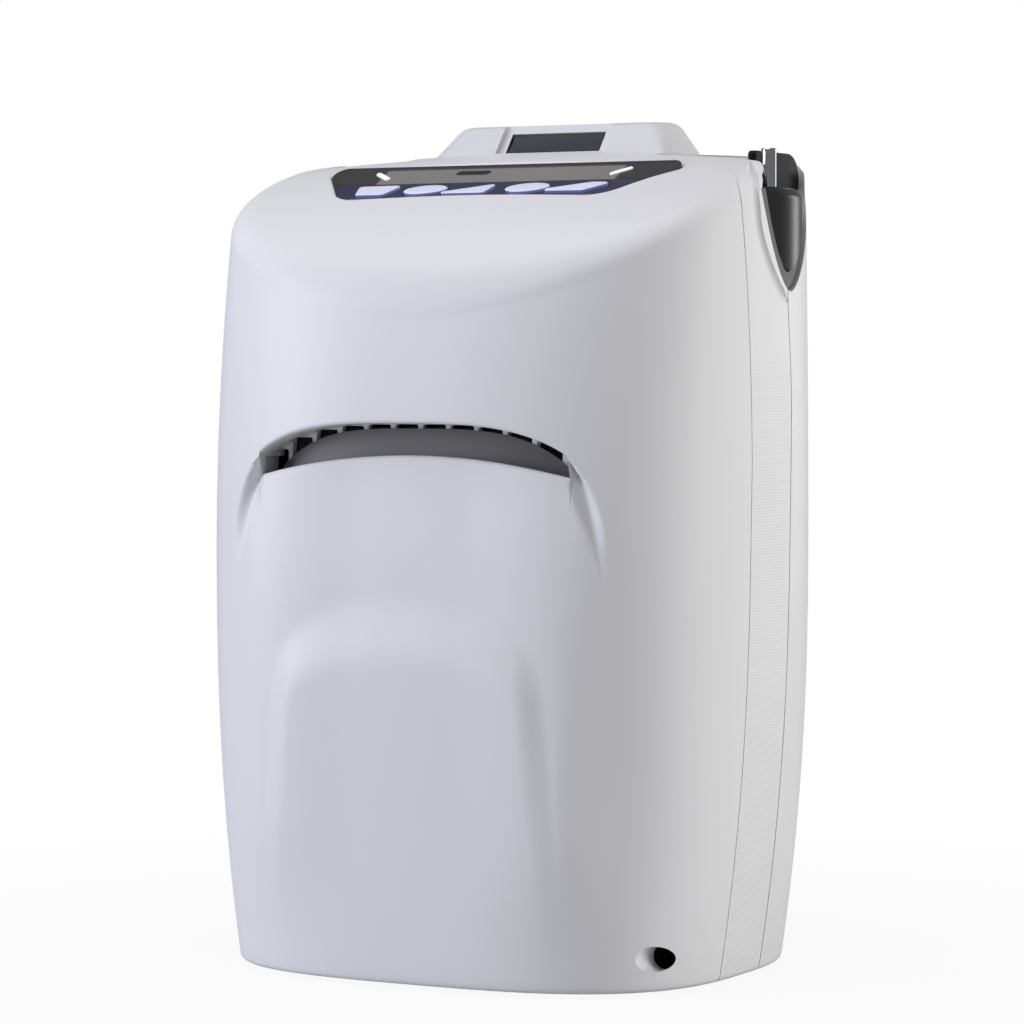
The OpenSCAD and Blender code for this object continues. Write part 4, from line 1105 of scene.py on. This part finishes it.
# Status window and light bars: a dark glass pill and two clear guides in the grey wall.
# Each is pressed into its own pocket and stands a little proud of the wall.
dark_glass = finish("dark_glass", (0.008, 0.009, 0.012), (0.012, 0.013, 0.018), (0.06, 0.12), bump=0.02,
    coat=0.5)
status_window = as_object(slab(pill(14, 3), eased_top(-1.4, 0.2, 0.3), window_at), "status_window_pill")
place(status_window, dark_glass, "case", "status_window", "window")


def joined(first, second):
    part = bpy.data.meshes.new("part")
    second.to_mesh(part)
    second.free()
    first.from_mesh(part)
    bpy.data.meshes.remove(part)
    return first


guides = [slab(pill(9, 2.2), eased_top(-1.4, 0.4, 0.4), guide_at[side]) for side in (-1, 1)]
status_lights = as_object(joined(*guides), "status_light_bars")
light_bar = finish("light_bar", (0.90, 0.90, 0.86), (0.86, 0.86, 0.83), (0.2, 0.3), bump=0.02)
# Painted light: the guides glow so that they read as bright slivers; no lamp lights them.
glow_from(light_bar, (1, 1, 0.95), 0.25)
place(status_lights, light_bar, "case", "status_lights", "light_bar")


# Display pod: a raised white housing on the deck whose front slopes to the user.
# It is moulded with a shallow channel for the window and is snapped into the rear cover.
pod_half = 50.5
pod_front = 28.3
pod_rear = 59.7
pod_foot = 297.8
pod_knee = 301
pod_top = 313


def slope_inset(z, run, radius):
    rise = pod_top - pod_knee
    angle = math.atan2(rise, run)
    tail = radius * math.tan(angle / 2)
    start = pod_top - radius * (1 - math.cos(angle))
    if z <= pod_knee:
        return 0.0
    if z < start:
        return (z - pod_knee) * run / rise
    turn = math.acos(min(1.0, max(-1.0, 1 - (pod_top - z) / radius)))
    return run + tail - radius * math.sin(turn)


pod_levels = [pod_foot, 300, pod_knee] + [301.4 + 0.4 * i for i in range(19)]
pod_levels += [309.2 + 3.8 * math.sin(i * math.pi / 48) for i in range(1, 25)]
pod_rings = []
for z in pod_levels:
    half = pod_half - slope_inset(z, 6.2, 4.5)
    front = pod_front + slope_inset(z, 9.6, 4.0)
    rear = pod_rear - slope_inset(z, 4.0, 4.0)
    bend = 4.0 + 0.25 * (z - pod_foot)
    ring = []
    for cx, cy, start in ((half, rear, 0), (-half, rear, 90), (-half, front, 180), (half, front, 270)):
        ox = cx - math.copysign(bend, cx)
        oy = cy - bend if start < 180 else cy + bend
        for i in range(13):
            a = math.radians(start + 7.5 * i)
            ring.append((ox + bend * math.cos(a), oy + bend * math.sin(a), z))
    pod_rings.append(ring)
display_pod = as_object(loft(pod_rings), "display_pod_housing")
face_y = 33
face_z = 307
face_tilt = 51.46
on_face = tilted((0, face_y, face_z), face_tilt)
carve(display_pod, box_tool((-38.7, 43, 296), (38.7, 52, 308)))
carve(display_pod, slab(box_line(-20, 20, -5.1, 5.1), [(-14, 0), (10, 0)], on_face))
carve(display_pod, slab(box_line(-23, 23, -5.9, 40), [(-1.8, 0), (-1.6, 0.1), (12, 1.6)], on_face))
# Painted shade: the pod takes the shell's white made greyer, so that it reads darker than the case.
pod_white_painted_shade = finish("pod_white_painted_shade", (0.665, 0.662, 0.690), (0.650, 0.648, 0.676), (0.36, 0.45), grain=2600,
    mottle=14, bump=0.05)
place(display_pod, pod_white_painted_shade, "case", "display_pod", "white_shell")

# Display lens: a dark glossy window with a black border, set into the sloped face of the pod.
# It is cut from glossy sheet and bonded in its channel.
lens_line = hull_outline([(x, y, 0.6) for x in (-19.2, 19.2) for y in (-4.3, 4.3)], 2.0)
display_lens = as_object(slab(lens_line, eased_top(-3.4, -2.0, 0.2), on_face), "display_lens_glass")
lens_glass = finish("lens_glass", (0.006, 0.008, 0.016), (0.009, 0.012, 0.024), (0.07, 0.12), bump=0.0,
    specular=0.15)
tree = lens_glass.node_tree
right_side = mask_along(tree, (1, 0, 0), -0.0188, -0.0182)
left_side = mask_along(tree, (-1, 0, 0), -0.0188, -0.0182)
tilt = math.radians(face_tilt)
up_face = (0, math.cos(tilt), math.sin(tilt))
level = (face_y * math.cos(tilt) + face_z * math.sin(tilt)) * mm
low_edge = mask_along(tree, up_face, level - 0.0040, level - 0.0036)
high_edge = mask_along(tree, up_face, level + 0.0040, level + 0.0036)
sides = combine(tree, "MINIMUM", right_side, left_side)
ends = combine(tree, "MINIMUM", low_edge, high_edge)
inside = combine(tree, "MINIMUM", sides, ends)
two_tone(lens_glass, inside, (0.004, 0.004, 0.005))
place(display_lens, lens_glass, "case", "display_lens", "window")

# Collar and shield: a grey frame in the V notch and the dark shield that stands out of it.
# Both are moulded; the shield is a satin cover that holds the outlet tube.
bezel_collar = as_object(prism(notch_line(0.8), "X", 91.1, 106), "bezel_collar_frame")
carve(bezel_collar, plain_skin(60, 60, 1.2, 60, 16), "INTERSECT")
carve(bezel_collar, box_tool((60, -30, 230), (120, 80, 285.5)), "INTERSECT")
carve(bezel_collar, prism(notch_line(4.0), "X", 80, 120))
carve(bezel_collar, box_tool((60, 30, 271), (120, 80, 300)))
collar_grey = finish("collar_grey", (0.105, 0.105, 0.107), (0.125, 0.125, 0.127), (0.38, 0.5), bump=0.1,
    specular=0.2)
place(bezel_collar, collar_grey, "case", "bezel_collar", "grey_trim")


shield_back = 91.3
shield_round = 35
shield_point = 256.05
shield_brow = 283.1
shield_chamfer = 2.5


def shield_face(y, trim):
    return 69.8 + math.sqrt(shield_round ** 2 - (y - 21) ** 2) - trim


def shield_section(z, trim):
    share = max(0.0, (z - shield_point) / notch_rise)
    left = notch_y - 21.3 * share ** (1 / steep_power)
    right = notch_y + 28.8 * share ** (1 / shallow_power)
    edge = min(0.9, 0.3 * (right - left))
    face = [shield_face(y, trim) for y in (left + edge, right - edge)]
    ring = [(shield_back, left, z)]
    for i in range(6):
        a = i * math.pi / 10
        ring.append((face[0] - edge + edge * math.sin(a), left + edge * (1 - math.cos(a)), z))
    for i in range(1, 40):
        y = left + edge + (right - left - 2 * edge) * i / 40
        ring.append((shield_face(y, trim), y, z))
    for i in range(5, -1, -1):
        a = i * math.pi / 10
        ring.append((face[1] - edge + edge * math.sin(a), right - edge * (1 - math.cos(a)), z))
    return ring + [(shield_back, right, z)]


rows = [shield_section(256.4 + 26.7 * (i / 40) ** 1.4, 0.0) for i in range(41)]
rows += [shield_section(shield_brow + 3.0 * i / 8, shield_chamfer * (i / 8) ** 1.3) for i in range(1, 9)]
for i in range(1, 5):
    a = i * math.pi / 8
    z = shield_brow + 3.0 + 0.4 * math.sin(a)
    rows.append(shield_section(z, shield_chamfer + 0.5 * (1 - math.cos(a))))
side_bezel = as_object(loft(rows), "side_bezel_shield")
dark_trim = finish("dark_trim", (0.030, 0.030, 0.029), (0.036, 0.036, 0.035), (0.26, 0.32), bump=0.08,
    specular=0.95)
# Painted shade: the shield darkens to near black towards its front edge.
two_tone(dark_trim, mask_along(dark_trim.node_tree, (0, 1, 0), 0.012, 0.028), (0.006, 0.006, 0.006))
place(side_bezel, dark_trim, "case", "side_bezel", "dark_trim")


# Outlet: a bright plated tube with an elbow that runs to the product hose.
# It is drawn brass with a turned end, pressed into the shield.
def pipe(stations, segments=64):
    rings = []
    for centre, along, radius in stations:
        rings.append(tube_ring(Vector(centre), Vector(along).normalized(), (1, 0, 0), radius, segments))
    return loft(rings)


tube_x = 97.6
tube_z = 272.5
elbow_y = 11.2
elbow_round = 4
drawn = 2.6
bend_stations = [((tube_x, y, tube_z), (0, 1, 0), drawn) for y in (-13.3, elbow_y)]
for i in range(1, 9):
    a = i * math.pi / 16
    centre = (tube_x, elbow_y + elbow_round * math.sin(a), tube_z + elbow_round - elbow_round * math.cos(a))
    bend_stations.append((centre, (0, math.cos(a), math.sin(a)), drawn))
tip_steps = [(286.5, drawn), (286.6, 2.8), (300.1, 2.8), (300.4, 2.65), (300.6, 2.4)]
bore_steps = [(300.6, 1.7), (300.3, 1.5), (289, 1.5)]
for z, r in tip_steps + bore_steps:
    bend_stations.append(((tube_x, elbow_y + elbow_round, z), (0, 0, 1), r))
oxygen_nozzle = as_object(pipe(bend_stations), "oxygen_nozzle_tube")
bright_metal = finish("bright_metal", (0.86, 0.86, 0.87), (0.80, 0.80, 0.82), (0.05, 0.10), bump=0.01,
    metallic=1.0)
place(oxygen_nozzle, bright_metal, "case", "oxygen_nozzle", "bright_metal")

# Power socket: a dark moulded barrel with a centre pin behind the boss of the front cover.
# A thin sleeve lines the bore in front of it.
barrel_steps = [(-16, 5.5), (-32.9, 5.5)]
sleeve_steps = [(-32.9, 4.55), (-46, 4.55), (-46.2, 4.3), (-23, 4.3), (-23, 3.3), (-19, 3.3)]
barrel = pipe([((inlet_x, y, inlet_z), (0, 1, 0), r) for y, r in barrel_steps + sleeve_steps], 96)
pin = round_rod((inlet_x, -22.5, inlet_z), (inlet_x, -18.5, inlet_z), 1.0)
dc_inlet = as_object(joined(barrel, pin), "dc_inlet_socket")
socket_black = finish("socket_black", (0.010, 0.010, 0.010), (0.016, 0.016, 0.016), (0.4, 0.5), bump=0.05)
place(dc_inlet, socket_black, "case", "dc_inlet", "dark_trim")


# Battery: a black welded pack that slides up out of its bay, with a cap and a pull tab.
# The cap is a separate moulding screwed on; the tab stands above the shield.
def eased_slab(outline, low, high, radius, at):
    steps = []
    for i in range(6):
        a = i * math.pi / 10
        steps.append((low + radius * (1 - math.cos(a)), radius * (math.sin(a) - 1)))
    return slab(outline, steps + eased_top(high - radius, high, radius)[1:], at)


black_plastic = finish("black_plastic", (0.005, 0.005, 0.005), (0.008, 0.008, 0.008), (0.36, 0.46),
    specular=0.08)
level_frame = Matrix.Identity(4)
pack_foot = 87
pack_top = 287
cap_top = 290
pack_line = hull_outline([(x, y, 3) for x in (56, 85.5) for y in (16.5, 47.5)], 4.0)
battery_pack = as_object(eased_slab(pack_line, pack_foot, pack_top, 1.0, level_frame), "battery_pack_case")
place(battery_pack, black_plastic, "battery", "battery_pack", "black_plastic")
cap_line = hull_outline([(x, y, 1.6) for x in (54.7, 91.1) for y in (15.2, 48.8)], 4.0)
battery_cap = as_object(eased_slab(cap_line, pack_top, cap_top, 0.6, level_frame), "battery_cap_tab")
carve(battery_cap, round_rod((61, 32, 288.5), (61, 32, 292), 4.0))
turns = [i * math.pi / 16 for i in range(9)]
tab_corner = [(43.4 + 8 * math.sin(a), 291 + 8 * math.cos(a), 1) for a in turns]
tab_line = hull_outline([(14.6, 288, 1), (51.4, 288, 1), (15.6, 298, 2)] + tab_corner, 1.2)
stand = Matrix(((0, 0, 1, 0), (1, 0, 0, 0), (0, 1, 0, 0), (0, 0, 0, 1)))
tab_bm = eased_slab(tab_line, 89.8, 92.8, 0.6, stand)
tab_bm.from_mesh(battery_cap.data)
tab_bm.to_mesh(battery_cap.data)
tab_bm.free()
place(battery_cap, black_plastic, "battery", "battery_cap", "black_plastic")

# Bay plug: a grey cap that closes the second bay until another pack is fitted.
# It is a hollow moulding with a dished top for the thumb.
plug_foot = 271
plug_top = 296
plug_line = hull_outline([(x, y, 2.6) for x in (-85.9, -55.6) for y in (16.1, 47.9)], 4.0)
bay_plug = as_object(eased_slab(plug_line, plug_foot, plug_top, 0.8, level_frame), "bay_plug_cap")
carve(bay_plug, box_tool((-86.5, 15.5, 265), (-55, 48.5, 284)))
dish = bmesh.new()
bmesh.ops.create_uvsphere(dish, u_segments=96, v_segments=48, radius=17 * mm)
bmesh.ops.translate(dish, verts=dish.verts[:], vec=Vector((-70.75, 32, 309)) * mm)
carve(bay_plug, dish)
plug_grey = finish("plug_grey", (0.30, 0.30, 0.305), (0.34, 0.34, 0.345), (0.38, 0.5), bump=0.1)
place(bay_plug, plug_grey, "bay_plug", "bay_plug", "chassis_grey")

low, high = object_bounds()
